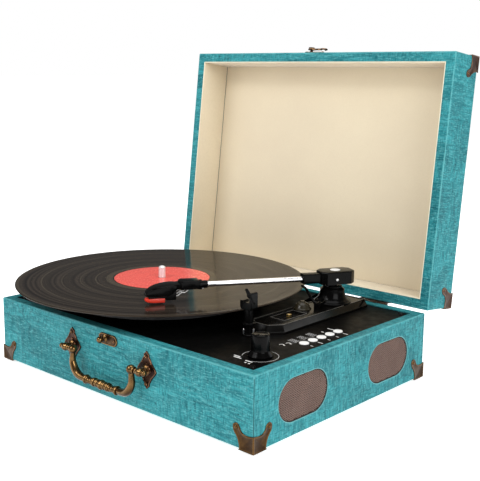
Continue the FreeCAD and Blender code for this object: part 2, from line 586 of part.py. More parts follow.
def makeArmRest():
    x, y, foot = val(restX), val(restY), val(deckZ)
    # the fork's floor and its low tine stay under the tube, which parks at this reach
    reach = math.hypot(val(pivotX) - x, val(pivotY) - y)
    tubeZ = val(pivotZ) + reach * math.tan(math.radians(val("armRise")))
    tubeUnder = tubeZ - val("tubeRadius")
    radius, wide, deep, tine = val("restRadius"), val("restWide"), val("restDeep"), val("tineWide")
    neckTop = tubeUnder - val("forkDeep")
    flange = val("restRadius + restFlange")
    post = Part.makeCylinder(flange, val("flangeTall"), Vector(x, y, foot))
    post = post.fuse([Part.makeCylinder(radius, neckTop - foot, Vector(x, y, foot)),
                      Part.makeCylinder(flange, val("restRingTall"),
                                        Vector(x, y, foot + val("restRingRise")))])
    hingeUp = val(clipZ)
    block = Part.makeBox(wide, deep, hingeUp + 2 - neckTop, Vector(x - wide / 2, y - deep / 2, neckTop))
    block = roundEdges(block, 1, lambda e: abs(e.tangentAt(e.FirstParameter).z) > 0.9)
    slot = Part.makeBox(wide - 2 * tine, deep + 2, 40,
                        Vector(x - wide / 2 + tine, y - deep / 2 - 1, tubeUnder - val("forkFloor")))
    lowSide = Part.makeBox(wide / 2, deep + 2, 40,
                           Vector(x - wide / 2 - 1, y - deep / 2 - 1, tubeUnder - val("forkLow")))
    rest = post.fuse(block).cut(slot.fuse(lowSide))
    hingeX = x + wide / 2 - tine / 2
    rest = rest.cut(Part.makeCylinder(val("clipPin + runGap"), deep + 4,
                                      Vector(hingeX, y - deep / 2 - 2, hingeUp), Y_AXIS))
    solid(rest.removeSplitter(), "arm_rest")
    # clip: a short hook up over the tube and a tail down outside the tine
    hook = [Vector(1.2, 0, 0.7), Vector(-3.2, 0, 6), Vector(-5.1, 0, 4.6), Vector(-1.2, 0, -0.9),
            Vector(4.8, 0, -8), Vector(6.6, 0, -6.4)]
    clip = outlineFace(hook).extrude(Y_AXIS * val("clipThick"))
    boss = Part.makeCylinder(val("clipBoss"), val("clipThick"), Vector(), Y_AXIS)
    pin = Part.makeCylinder(val("clipPin"), val("clipThick + restDeep"), Vector(), Y_AXIS)
    spot = Vector(hingeX, y - deep / 2 - val("clipThick + clipGap"), hingeUp)
    solid(clip.fuse([boss, pin]).removeSplitter(), "arm_clip", Placement(spot, Rotation()))


# ---------------------------------------------------------------- tonearm
def makeTonearm():
    pivot = Vector(val(pivotX), val(pivotY), val(pivotZ))
    heading = Rotation(Z_AXIS, -90 - val("playAngle"))
    level = Placement(pivot, heading)
    rise = Rotation(Y_AXIS, -val("armRise"))
    tilted = Placement(pivot, heading * rise)

    turretTop = val(f"{deckZ} + plinthTall + turretTall")
    shaftFoot = turretTop - pivot.z - val("turretTall") + 1
    collarZ = turretTop - pivot.z + val("yokeGap")
    pin = val("pinRadius")
    yoke = Part.makeCylinder(val("yokeRadius"), collarZ - shaftFoot + 0.5, Vector(0, 0, shaftFoot))
    yoke = yoke.fuse([Part.makeCylinder(val("turretTop"), val("yokePlate"), Vector(0, 0, collarZ)),
                      Part.makeCylinder(val("yokeHead"), 3.4 - collarZ, Vector(0, 0, collarZ)),
                      Part.makeCylinder(pin, val("2 * capHalf - 2"),
                                        Vector(0, -val("capHalf") + 1, 0), Y_AXIS)])
    solid(yoke.removeSplitter(), "arm_yoke", level)

    back, front, half = val("capBack"), val("capFront"), val("capHalf")
    below, above, wall = val("capBelow"), val("capAbove"), val("capWall")
    tail, nose = val("capChamfer"), val("noseChamfer")
    corners = [(-back, -half + tail), (-back + tail, -half), (front - nose, -half),
               (front, -half + nose), (front, half - nose), (front - nose, half),
               (-back + tail, half), (-back, half - tail)]
    cap = outlineFace([Vector(a, b, -below) for a, b in corners]).extrude(Z_AXIS * (below + above))
    cap = roundEdges(cap, 0.8, lambda e: e.BoundBox.ZMin > above - 0.01)
    room = Part.makeBox(back + front - 13, 2 * (half - wall), above + below - wall,
                        Vector(-9.5, wall - half, -below))
    start, end = val("socketStart"), val("socketEnd")
    socketWide, socketTall = val("socketWide"), val("socketTall")
    socket = Part.makeBox(end - start, socketWide, socketTall,
                          Vector(start, -socketWide / 2, -val("socketBelow")))
    socket = roundEdges(socket, 0.8, lambda e: abs(e.tangentAt(e.FirstParameter).x) > 0.9)
    socket.Placement = Placement(Vector(), rise)
    tubeFoot = Vector(end - val("tubeGrip"), 0, 0)
    bore = Part.makeCylinder(val("tubeRadius + fitGap"), end, tubeFoot - X_AXIS, X_AXIS)
    bore.Placement = Placement(Vector(), rise)
    holes = Part.makeCylinder(pin + val("runGap"), 4 * half, Vector(0, -2 * half, 0), Y_AXIS)
    cap = cap.cut(room).fuse(socket).cut(bore.fuse(holes))
    solid(cap.removeSplitter(), "arm_housing", level)

    tubeLong = val("collarStart + collarGrip") - tubeFoot.x
    tube = Part.makeCylinder(val("tubeRadius"), tubeLong, tubeFoot, X_AXIS)
    tube = tube.cut(Part.makeCylinder(val("tubeBore"), tubeLong, tubeFoot, X_AXIS))
    solid(tube, "arm_tube", tilted)

    head, tip, wide = val("headStart"), val("headEnd"), val("headWide")
    side = outlineFace([Vector(x, -wide, z) for x, z in
                        ((head, -5), (head + 9, -5), (head + 29, -6.2), (head + 31, -8.2), (tip, -8.2),
                         (tip, -6), (tip - 5, -1.2), (tip - 12, 1.6), (head + 18, 3.2),
                         (head + 18, 5.6), (head + 1, 5.6), (head, 5))]).extrude(Y_AXIS * 2 * wide)
    plan = [(head, 6.5), (head + 18, 6.5), (head + 21, wide / 2), (tip - 12, wide / 2 - 0.8),
            (tip - 3, wide / 2 - 3), (tip, wide / 2 - 4.5)]
    outline = plan + [(x, -y) for x, y in reversed(plan)]
    block = outlineFace([Vector(x, y, -20) for x, y in outline]).extrude(Z_AXIS * 40)
    collar = Part.makeCylinder(val("headCollar"), head - val("collarStart") + 0.5,
                               Vector(val("collarStart"), 0, 0), X_AXIS)
    socketHole = Part.makeCylinder(val("tubeRadius + fitGap"), val("collarGrip") + 1,
                                   Vector(val("collarStart") - 1, 0, 0), X_AXIS)
    headshell = side.common(block).fuse(collar).cut(socketHole)
    solid(headshell.removeSplitter(), "headshell", tilted)

    cartStart, cartLow, cartHalf = head + 23, -val("cartridgeBelow"), val("cartridgeWide / 2")
    cartEnd = cartStart + val("cartridgeLong")
    cart = outlineFace([Vector(x, -cartHalf, z) for x, z in
                        ((cartStart, cartLow), (cartEnd, cartLow), (cartEnd, -10.3),
                         (tip - 2.3, -10.3), (tip - 2.3, -8.2), (head + 31, -8.2),
                         (head + 29.4, -7), (cartStart, -6.6))])
    solid(cart.extrude(Y_AXIS * 2 * cartHalf), "cartridge", tilted)

    # the needle's point stays just above the record at the rest swing
    reach = val("armReach")
    drop = pivot.z + reach * math.sin(math.radians(val("armRise"))) - val(recordTop) - val("stylusGap")
    stylusLow, stylusHalf = -val("stylusBelow"), val("stylusWide / 2")
    guard = outlineFace([Vector(x, -stylusHalf, z) for x, z in
                         ((cartEnd + 0.4, stylusLow), (tip - 2, stylusLow), (tip, -12.5),
                          (tip, -10.4), (cartEnd + 0.4, -10.4))]).extrude(Y_AXIS * 2 * stylusHalf)
    needle = Part.makeCone(val("pointRadius"), val("needleRadius"), drop + stylusLow + 0.5,
                           Vector(reach, 0, -drop), Z_AXIS)
    solid(guard.fuse(needle).removeSplitter(), "stylus", tilted)


# ---------------------------------------------------------------- controls
def makeControls():
    knobFoot = "(potTall - stemDeep + plateThick + knobGap)"
    knobTop = f"({knobFoot} + knobTall)"
    keep(turned([(0, 0), ("stemRadius", 0), ("stemRadius", knobFoot), ("knobFoot", knobFoot),
                 ("knobFoot", f"{knobFoot} + knobFlange"),
                 ("knobFoot - 1.6", f"{knobFoot} + knobFlange + 2"),
                 ("knobRadius", f"{knobFoot} + knobFlare"), ("knobRadius - 0.25", f"{knobTop} - 1"),
                 ("knobRadius - 1.2", knobTop), (0, knobTop)],
                knobX, knobY, f"{underDeck} - potTall + stemDeep"), "volume_knob")
    pot = box("potSize", "potSize", "potTall", knobX, knobY, f"{underDeck} - potTall")
    keep(cut(pot, rod("stemRadius + runGap", "potTall", knobX, knobY,
                      f"{underDeck} - potTall + stemDeep - 0.2")),
         "potentiometer")

    # each button: a round cap on a foot that is wider than its hole
    foot = "(boardDrop - switchTall)"
    names = ("source_button", "previous_button", "play_button", "next_button", "record_button")
    top = f"({foot} + plateThick + buttonRise)"
    flange = "(buttonRadius + buttonFlange)"
    profile = [(0, 0), (flange, 0), (flange, f"{foot} - flangeTop"),
               ("buttonRadius", f"{foot} - flangeTop"), ("buttonRadius", f"{top} - 0.4"),
               ("buttonRadius - 0.4", top), (0, top)]
    switches = []
    for n, name in enumerate(names):
        y = f"(buttonY + {n} * buttonPitch)"
        keep(turned(profile, buttonX, y, f"{underDeck} - {foot}"), name)
        switches.append(box("switchSize", "switchSize", "switchTall - buttonTravel - 0.2", buttonX, y,
                            f"{underDeck} - boardDrop"))
    keep(group(*switches), "tact_switches")
    keep(box("boardWide", "4 * buttonPitch + 24", "boardThick", buttonX, "buttonY + 2 * buttonPitch",
             f"{underDeck} - boardDrop - boardThick"), "control_board")

    # main board on four posts, with a connector block and three capacitors
    boardZ = f"({floorZ} + mainRise)"
    pieces = [box("mainWide", "mainDeep", "boardThick", "mainX", "mainY", boardZ)]
    for i in (-1, 1):
        for j in (-1, 1):
            pieces.append(rod(3, "mainRise", f"mainX + {i} * (mainWide / 2 - 6)",
                              f"mainY + {j} * (mainDeep / 2 - 6)", floorZ))
    pieces.append(box(24, 10, 16, "mainX - 20", "mainY + 18", boardZ))
    for n in range(3):
        pieces.append(rod(5, 14, f"mainX + {n} * 14 + 6", "mainY - 10", boardZ))
    keep(fuse(*pieces), "main_board")


# ---------------------------------------------------------------- rear sockets
def makeSockets():
    back = val("caseDepth / 2")
    x, z = val("jackX"), val("footHeight + jackRise")
    wide, tall, thick = val("jackPanelWide"), val("jackPanelTall"), val("jackPanelThick")
    pitch, bore, deep = val("jackPitch"), val("powerBore"), val("powerDeep")
    panel = Part.makeBox(wide, thick, tall, Vector(x - wide / 2, back, z - tall / 2))
    panel = roundEdges(panel, 4, lambda e: abs(e.tangentAt(e.FirstParameter).y) > 0.9)
    spots = [Vector(x + pitch * i, back, z) for i in (-1.4, -0.4, 0.6, 1.4)]
    body, phone = val("jackBody"), val("phoneBore")
    holes = [Part.makeCylinder(body, 3 * thick, s - Y_AXIS * thick, Y_AXIS) for s in spots]
    solid(panel.cut(holes[0].fuse(holes[1:])), "jack_panel")
    jacks = []
    for spot in spots[:2]:
        sleeve = Part.makeCylinder(val("sleeveRadius"), val("sleeveLong") + thick, spot, Y_AXIS)
        shell = Part.makeCylinder(body, 12, spot - Y_AXIS * (12 - thick), Y_AXIS)
        jacks.append(sleeve.fuse(shell).cut(Part.makeCylinder(1.6, 30, spot - Y_AXIS * 4, Y_AXIS)))
    for spot, radius in zip(spots[2:], (phone, bore)):
        shell = Part.makeCylinder(body, 14, spot - Y_AXIS * (14 - thick), Y_AXIS)
        mouth = spot + Y_AXIS * (thick - deep)
        jacks.append(shell.cut(Part.makeCylinder(radius, deep + 1, mouth, Y_AXIS)))
    solid(Part.Compound(jacks), "rear_jacks")


# ---------------------------------------------------------------- lid, drawn closed and turned open
def lidPlacement():
    return Placement(Vector(), Rotation(X_AXIS, -val("openAngle")),
                     Vector(0, val(hingeY), val(hingeZ)))


def makeLid():
    width, depth, tall = val("caseWidth"), val("caseDepth"), val("lidHeight")
    wall, rim, panel, lining = val("wall"), val(lidRim), val("lidPanel"), val("liningThick")
    place = lidPlacement()

    def block(inset, low, high):
        return Part.makeBox(width - 2 * inset, depth - 2 * inset, high - low,
                            Vector(inset - width / 2, inset - depth / 2, low))

    outer = roundEdges(block(0, rim, rim + tall), val("edgeRound"), lambda e: True)
    solid(outer.cut(block(wall, rim - 1, rim + tall + 1)), "lid_frame", place)
    solid(block(wall, rim + tall - panel, rim + tall), "lid_panel", place)
    tray = block(wall, rim, rim + tall - panel).cut(block(wall + lining, rim - 1,
                                                          rim + tall - panel - lining))
    solid(tray, "lid_lining", place)
    cornerGuards("lid_corner_guards", "lid_guard_nails", rim + tall, False, place)


def makeHinges():
    place = lidPlacement()
    axisY, axisZ = val(hingeY), val(hingeZ)
    wide, radius, thick, tall = val("hingeWide"), val("barrelRadius"), val("leafThick"), val("leafTall")
    back = val("caseDepth / 2")
    third = wide / 3
    pinRadius = val("hingePin")
    baseLeaves, lidLeaves, pins, baseScrews, lidScrews = [], [], [], [], []
    for side in (-1, 1):
        left = side * val("hingeX") - wide / 2

        def barrel(start, long, size):
            return Part.makeCylinder(size, long, Vector(start, axisY, axisZ), X_AXIS)

        bore = barrel(left - 1, wide + 2, pinRadius + val("runGap"))
        gap = val("knuckleGap")
        baseLeaf = Part.makeBox(wide, thick, tall + radius, Vector(left, back, axisZ - tall - radius))
        baseLeaf = baseLeaf.cut(barrel(left + third - gap, third + 2 * gap, radius + 0.4))
        outers = barrel(left, third - gap, radius).fuse(barrel(left + 2 * third + gap, third - gap, radius))
        baseLeaves.append(baseLeaf.fuse(outers).cut(bore).removeSplitter())

        lidFoot = val(lidRim)
        lidLeaf = Part.makeBox(wide, thick, tall + axisZ + radius - lidFoot, Vector(left, back, lidFoot))
        lidLeaf = lidLeaf.cut(barrel(left - gap, third + 2 * gap, radius + 0.4))
        lidLeaf = lidLeaf.cut(barrel(left + 2 * third - gap, third + 2 * gap, radius + 0.4))
        knuckle = barrel(left + third + gap, third - 2 * gap, radius)
        web = Part.makeBox(third - 2 * gap, thick, lidFoot - axisZ + 1,
                           Vector(left + third + gap, back + val("hingeOut") - radius, axisZ))
        lidLeaves.append(lidLeaf.fuse([knuckle, web]).cut(bore).removeSplitter())
        pins.append(barrel(left - 0.6, wide + 1.2, pinRadius).fuse(barrel(left - 1.2, 0.9, pinRadius + 0.7)))
        for n in (-1, 0, 1):
            spot = Vector(side * val("hingeX") + n * third * 0.9, back + thick, 0)
            low, high = axisZ - radius - tall * 0.55, lidFoot + tall * 0.6
            baseScrews.append(dome(2, 0.9, spot + Z_AXIS * low, Y_AXIS))
            lidScrews.append(dome(2, 0.9, spot + Z_AXIS * high, Y_AXIS))
    solid(Part.Compound(baseLeaves), "base_hinge_leaves")
    solid(Part.Compound(pins), "hinge_pins")
    solid(Part.Compound(lidLeaves), "lid_hinge_leaves", place)
    return baseScrews, lidScrews


# ---------------------------------------------------------------- handle, catch and latch
def makeHandle(screws):
    front = val(frontY)
    middle, z = val("handleX"), val("footHeight + handleRise")
    axisY = front - val("handleOut")
    tall, wide, thick = val("diamondTall / 2"), val("diamondWide / 2"), val("diamondThick")
    pin, padThick, postWide = val("bailPin"), val("padThick"), val("postWide")
    plates, posts = [], []
    for side in (-1, 1):
        x = middle + side * val("postPitch / 2")
        waist = [(0, tall), (wide * 0.36, tall * 0.56), (wide, 0), (wide * 0.36, -tall * 0.56),
                 (0, -tall), (-wide * 0.36, -tall * 0.56), (-wide, 0), (-wide * 0.36, tall * 0.56)]
        face = outlineFace([Vector(x + a, front, z + b) for a, b in waist])
        plate = face.extrude(-Y_AXIS * thick)
        pad = [Vector(x + a * 0.6, front - thick, z + b * 0.55) for a, b in waist[::2]]
        plates.append(plate.fuse(outlineFace(pad).extrude(-Y_AXIS * padThick)).removeSplitter())
        root = Vector(x, front - thick - padThick, z)
        neck = Part.makeCylinder(val("postNeck"), root.y - axisY, root, -Y_AXIS)
        foot = Part.makeCone(val("postFoot"), val("postNeck"), 2.2, root, -Y_AXIS)
        ball = Part.makeSphere(val("postBall"), Vector(x, axisY, z))
        hole = Part.makeCylinder(pin + val("runGap"), 12, Vector(x - 6, axisY, z), X_AXIS)
        flats = Part.makeBox(postWide, 30, 30, Vector(x - postWide / 2, axisY - 15, z - 15))
        posts.append(neck.fuse([foot, ball]).common(flats.fuse(foot)).cut(hole))
        for up in (-1, 1):
            spot = Vector(x, front - thick, z + up * tall * 0.72)
            screws.append(dome(val("screwRadius"), val("screwTall"), spot, -Y_AXIS))
    solid(Part.Compound(plates), "handle_plates")
    solid(Part.Compound(posts), "handle_posts")

    # bail: a bent rod with a turned grip, a stub pin through each post and a ball outside it
    leg, drop, bend = val("legPitch / 2"), val("bailDrop"), val("bailBend")
    radius = val("bailRadius")
    low = z - drop
    knee = bend * (1 - math.sqrt(0.5))
    spots = [Vector(middle - leg, axisY, z), Vector(middle - leg, axisY, low + bend),
             Vector(middle - leg + knee, axisY, low + knee), Vector(middle - leg + bend, axisY, low),
             Vector(middle + leg - bend, axisY, low), Vector(middle + leg - knee, axisY, low + knee),
             Vector(middle + leg, axisY, low + bend), Vector(middle + leg, axisY, z)]
    path = Part.Wire([Part.LineSegment(spots[0], spots[1]).toShape(),
                      Part.Arc(spots[1], spots[2], spots[3]).toShape(),
                      Part.LineSegment(spots[3], spots[4]).toShape(),
                      Part.Arc(spots[4], spots[5], spots[6]).toShape(),
                      Part.LineSegment(spots[6], spots[7]).toShape()])
    ringWire = Part.Wire(Part.Circle(spots[0], Z_AXIS, radius).toShape())
    bail = path.makePipeShell([ringWire], True, True)
    extras = []
    for side in (-1, 1):
        elbow = Vector(middle + side * leg, axisY, z)
        post = Vector(middle + side * val("postPitch / 2"), axisY, z)
        out = X_AXIS * side
        extras.append(Part.makeSphere(val("elbowBall"), elbow))
        extras.append(Part.makeSphere(val("innerBall"), post - out * (postWide / 2 + 3.6)))
        extras.append(Part.makeCylinder(pin, (post - elbow).Length + postWide / 2 + 2.2, elbow, out))
        extras.append(Part.makeSphere(val("outerBall"), post + out * (postWide / 2 + 2.8)))
        collar = Vector(middle + side * val("ringPitch"), axisY, low) - out * 0.8
        extras.append(Part.makeCylinder(radius + 1.3, 1.6, collar, out))
    for offset in (-9, -5.5, 5.5, 9):
        bead = Vector(middle + offset - 0.8, axisY, low)
        extras.append(Part.makeCylinder(radius + 1.1, 1.6, bead, X_AXIS))
    extras.append(Part.makeCylinder(radius + 1.7, 3.2, Vector(middle - 1.6, axisY, low), X_AXIS))
    solid(bail.fuse(extras).removeSplitter(), "handle_bail")


def makeCatchAndLatch(screws, lidScrews):
    front = val(frontY)
    x, z = val("handleX"), val(catchZ)
    long, tall, thick, offset = val("catchLong"), val("catchTall"), val("catchThick"), val("catchOffset")
    plate = stadium(long, tall, thick, Vector(x, front - thick, z), Y_AXIS, X_AXIS)
    knobRoot = Vector(x - offset, front - thick, z)
    neckLong = val("catchNeckLong")
    neck = Part.makeCylinder(val("catchNeck"), neckLong, knobRoot, -Y_AXIS)
    ball = Part.makeSphere(val("catchBall"), knobRoot - Y_AXIS * (neckLong + 0.4))
    solid(plate.fuse([neck, ball]).removeSplitter(), "catch_plate")
    head, crown = val("screwRadius"), val("screwTall")
    screws.append(dome(head, crown, Vector(x + long / 2 - 3.6, front - thick, z), -Y_AXIS))
    screws.append(dome(head, crown, Vector(x - long / 2 + 2.2, front - thick, z), -Y_AXIS))

    # the latch is drawn with the lid closed, its hook lying level, then turned open with the lid
    place = lidPlacement()
    latchZ = val(f"{lidRim} + latchIn")
    lidPlate = stadium(long, tall, thick, Vector(x, front - thick, latchZ), Y_AXIS, X_AXIS)
    root = Vector(x - offset, front - thick, latchZ)
    stub = Part.makeCylinder(val("latchStub"), 5.2, root, -Y_AXIS)
    cap = dome(3.2, 1.3, root - Y_AXIS * 4.4, -Y_AXIS)
    solid(lidPlate.fuse([stub, cap]).removeSplitter(), "latch_plate", place)
    lidScrews.append(dome(head, crown, Vector(x + long / 2 - 2.4, front - thick, latchZ), -Y_AXIS))
    lidScrews.append(dome(head, crown, Vector(x - long / 2 + 2.2, front - thick, latchZ), -Y_AXIS))

    # hook: an eye on the stub, a bar, and an open curl that goes round the catch's neck
    reach, thick, tall, curlRadius = val("hookLong"), val("hookThick"), val("hookTall"), val("hookCurl")
    mouthRadius = val("catchNeck + 0.2")
    start = root - Y_AXIS * val("hookOut")
    eye = Part.makeCylinder(val("hookEye"), thick, start, -Y_AXIS)
    bar = Part.makeBox(reach - 4, thick, tall, start + Vector(2, -thick, -tall / 2))
    curl = Part.makeCylinder(curlRadius, thick, start + X_AXIS * reach, -Y_AXIS)
    mouth = Part.makeCylinder(mouthRadius, 4, start + Vector(reach, 1, 0), -Y_AXIS)
    gate = Part.makeBox(2 * mouthRadius, 4, 6, start + Vector(reach - mouthRadius, -3, 0))
    hole = Part.makeCylinder(val("latchStub + runGap"), 6, start + Y_AXIS, -Y_AXIS)
    hook = eye.fuse([bar, curl]).cut(mouth.fuse([gate, hole]))
    solid(hook.removeSplitter(), "latch_hook", place)


# ---------------------------------------------------------------- build
makeCase()
cornerGuards("base_corner_guards", "base_guard_nails", val("footHeight"), True)
makeSpeakers()
makePlatter()
makeArmBase()
makeCueLever()
makeArmRest()
makeTonearm()
makeControls()
makeSockets()
makeLid()
baseScrews, lidScrews = makeHinges()
makeHandle(baseScrews)
makeCatchAndLatch(baseScrews, lidScrews)
solid(Part.Compound(baseScrews), "fitting_screws")
solid(Part.Compound(lidScrews), "lid_fitting_screws", lidPlacement())

doc.recompute()
for obj in doc.Objects:
    if {"Invalid", "Error"} & set(obj.State):
        raise RuntimeError(f"{obj.Label} failed: {obj.State}")
for part in parts:
    if part.Shape.isNull() or not part.Shape.isValid() or not part.Shape.Solids:
        raise RuntimeError(f"{part.Label} has no valid solid")

os.makedirs("parts", exist_ok=True)
for part in parts:
    part.Shape.exportStep(os.path.join("parts", part.Label + ".step"))
print(len(parts), "nodes")
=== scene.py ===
import json
import math
import random
import bmesh
import bpy
from mathutils import Matrix, Vector


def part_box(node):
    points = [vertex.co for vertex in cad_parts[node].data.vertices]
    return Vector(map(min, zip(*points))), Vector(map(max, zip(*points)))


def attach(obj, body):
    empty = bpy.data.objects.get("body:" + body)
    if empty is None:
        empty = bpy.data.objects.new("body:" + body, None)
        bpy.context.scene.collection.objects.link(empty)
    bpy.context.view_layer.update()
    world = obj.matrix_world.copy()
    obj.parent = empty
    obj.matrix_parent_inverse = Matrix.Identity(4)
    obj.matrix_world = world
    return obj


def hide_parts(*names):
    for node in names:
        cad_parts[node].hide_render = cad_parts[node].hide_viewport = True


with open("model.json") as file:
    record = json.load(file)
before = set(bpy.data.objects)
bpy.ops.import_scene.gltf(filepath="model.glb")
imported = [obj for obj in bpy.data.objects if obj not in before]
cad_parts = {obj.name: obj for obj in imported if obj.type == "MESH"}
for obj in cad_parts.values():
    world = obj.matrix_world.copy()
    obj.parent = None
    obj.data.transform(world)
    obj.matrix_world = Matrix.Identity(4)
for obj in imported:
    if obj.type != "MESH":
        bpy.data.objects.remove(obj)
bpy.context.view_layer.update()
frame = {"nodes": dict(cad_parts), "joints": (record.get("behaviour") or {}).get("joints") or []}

# A suitcase record player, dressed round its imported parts.
# Shapes are drawn in millimetres and scaled to metres as each piece is finished.
mm = 0.001
random.seed(4)
joints = {joint["name"]: joint for joint in frame["joints"]}


# places read from the frame
def span(node):
    low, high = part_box(node)
    return low / mm, high / mm


def jointSpot(name):
    return Vector(joints[name]["pos_m"]) / mm


def looseBoxes(node, turn=Matrix.Identity(4)):
    # the box of each separate solid of a CAD node, in millimetres, sorted by place
    bm = bmesh.new()
    bm.from_mesh(frame["nodes"][node].data)
    bmesh.ops.remove_doubles(bm, verts=bm.verts, dist=1e-6)
    left = set(bm.verts)
    boxes = []
    while left:
        todo = [left.pop()]
        found = []
        while todo:
            vert = todo.pop()
            found.append(turn @ (vert.co / mm))
            for edge in vert.link_edges:
                other = edge.other_vert(vert)
                if other in left:
                    left.remove(other)
                    todo.append(other)
        boxes.append((Vector([min(p[i] for p in found) for i in range(3)]),
                      Vector([max(p[i] for p in found) for i in range(3)])))
    bm.free()
    return sorted(boxes, key=lambda b: [round(v, 3) for v in b[0]])


caseLow, caseHigh = span("base_case")
hinge = jointSpot("lid_hinge")
latchAxis = Vector(joints["latch_swing"]["axis"])
lidAngle = math.atan2(-latchAxis.z, latchAxis.y)      # how far the lid stands open
lidTurn = Matrix.Translation(hinge) @ Matrix.Rotation(-lidAngle, 4, "X") @ Matrix.Translation(-hinge)
lidBack = lidTurn.inverted()
latchSpot = lidBack @ jointSpot("latch_swing")


def closedSpan(node):
    # a lid node's box with the lid turned closed
    points = [lidBack @ (v.co / mm) for v in frame["nodes"][node].data.vertices]
    return (Vector([min(p[i] for p in points) for i in range(3)]),
            Vector([max(p[i] for p in points) for i in range(3)]))


lidLow, lidHigh = closedSpan("lid_frame")
spindleSpot = jointSpot("platter_spin")
recordTop = span("vinyl_record")[1].z
deckTop = span("top_plate")[1].z
armPivot = jointSpot("arm_lift")
liftAxis = Vector(joints["arm_lift"]["axis"])
armWay = Vector((0, 0, 1)).cross(liftAxis)
armHeading = math.atan2(armWay.y, armWay.x)
armRise = math.radians(1.3)
armLevel = Matrix.Translation(armPivot) @ Matrix.Rotation(armHeading, 4, "Z")
armPlace = armLevel @ Matrix.Rotation(-armRise, 4, "Y")
print("frame read")


# shaping helpers
def arc(x, y, radius, start, end, steps):
    # points along an arc, angles in degrees
    turn = [math.radians(start + (end - start) * i / steps) for i in range(steps + 1)]
    return [(x + radius * math.cos(t), y + radius * math.sin(t)) for t in turn]


def softened(points, sharp=(), rounds=2):
    # corner cutting: the corners numbered in sharp stay
    spots = [(p, i in sharp) for i, p in enumerate(points)]
    for _ in range(rounds):
        cut = []
        count = len(spots)
        for i, (spot, held) in enumerate(spots):
            if held:
                cut.append((spot, held))
                continue
            before, after = spots[i - 1][0], spots[(i + 1) % count][0]
            cut.append((tuple(0.75 * a + 0.25 * b for a, b in zip(spot, before)), False))
            cut.append((tuple(0.75 * a + 0.25 * b for a, b in zip(spot, after)), False))
        spots = cut
    return [spot for spot, held in spots]


def roundedBox(left, right, front, back, radius, steps=6):
    return (arc(right - radius, back - radius, radius, 0, 90, steps)
            + arc(left + radius, back - radius, radius, 90, 180, steps)
            + arc(left + radius, front + radius, radius, 180, 270, steps)
            + arc(right - radius, front + radius, radius, 270, 360, steps))


def stadium(long, tall, steps=10):
    flat = (long - tall) / 2
    return arc(flat, 0, tall / 2, -90, 90, steps) + arc(-flat, 0, tall / 2, 90, 270, steps)


def raised(points, thick, foot=0.0):
    # a flat outline given a thickness; returns the shape and its top face
    bm = bmesh.new()
    face = bm.faces.new([bm.verts.new((x, y, foot)) for x, y in points])
    face.normal_update()
    if face.normal.z < 0:
        face.normal_flip()
    grown = bmesh.ops.extrude_face_region(bm, geom=[face])["geom"]
    bmesh.ops.translate(bm, verts=[v for v in grown if isinstance(v, bmesh.types.BMVert)],
                        vec=(0, 0, thick))
    bmesh.ops.recalc_face_normals(bm, faces=bm.faces)
    top = [f for f in grown if isinstance(f, bmesh.types.BMFace)][0]
    return bm, top


def inset(bm, faces, width, rise=0.0):
    faces = faces if isinstance(faces, list) else [faces]
    bmesh.ops.inset_region(bm, faces=faces, thickness=width, depth=rise, use_even_offset=True)
    return faces


def lathe(profile, steps=48, loop=False):
    bm = bmesh.new()
    verts = [bm.verts.new((r, 0, z)) for r, z in profile]
    edges = [bm.edges.new(pair) for pair in zip(verts, verts[1:])]
    if loop:
        edges.append(bm.edges.new((verts[-1], verts[0])))
    bmesh.ops.spin(bm, geom=verts + edges, cent=(0, 0, 0), axis=(0, 0, 1), dvec=(0, 0, 0),
                   angle=2 * math.pi, steps=steps, use_merge=True)
    bmesh.ops.remove_doubles(bm, verts=bm.verts, dist=1e-4)
    bmesh.ops.recalc_face_normals(bm, faces=bm.faces)
    return bm


def block(low, high):
    bm = bmesh.new()
    size = [b - a for a, b in zip(low, high)]
    middle = [(a + b) / 2 for a, b in zip(low, high)]
    bmesh.ops.create_cube(bm, size=1, matrix=Matrix.Translation(middle) @ Matrix.Diagonal((*size, 1)))
    return bm


def ball(radius, x=0, y=0, z=0, steps=20):
    bm = bmesh.new()
    bmesh.ops.create_uvsphere(bm, u_segments=steps, v_segments=steps // 2, radius=radius,
                              matrix=Matrix.Translation((x, y, z)))
    return bm


def tubeShape(data):
    # a curve with a thickness, made into a mesh
    holder = bpy.data.objects.new("line", data)
    mesh = bpy.data.meshes.new_from_object(holder)
    bm = bmesh.new()
    bm.from_mesh(mesh)
    bpy.data.objects.remove(holder)
    bpy.data.curves.remove(data)
    bpy.data.meshes.remove(mesh)
    bmesh.ops.remove_doubles(bm, verts=bm.verts, dist=1e-4)
    bmesh.ops.recalc_face_normals(bm, faces=bm.faces)
    return bm


def sweep(points, radius, radii=None, sides=4, smooth=True, loop=False, fine=6):
    # a round bar along a line of points, with its own thickness at each point
    data = bpy.data.curves.new("line", "CURVE")
    data.dimensions = "3D"
    data.bevel_depth = radius
    data.bevel_resolution = sides
    data.use_fill_caps = not loop
    data.resolution_u = fine
    spline = data.splines.new("NURBS" if smooth else "POLY")
    spline.points.add(len(points) - 1)
    for knot, spot, size in zip(spline.points, points, radii or [1] * len(points)):
        knot.co = (*spot, 1)
        knot.radius = size
    spline.use_cyclic_u = loop
    spline.order_u = 4 if len(points) > 3 else 3
    spline.use_endpoint_u = not loop
    return tubeShape(data)


def sweepLines(lines, radius, sides=1):
    # many thin bars in one go
    data = bpy.data.curves.new("lines", "CURVE")
    data.dimensions = "3D"
    data.bevel_depth = radius
    data.bevel_resolution = sides
    data.use_fill_caps = True
    for line in lines:
        spline = data.splines.new("POLY")
        spline.points.add(len(line) - 1)
        for knot, spot in zip(spline.points, line):
            knot.co = (*spot, 1)
    return tubeShape(data)


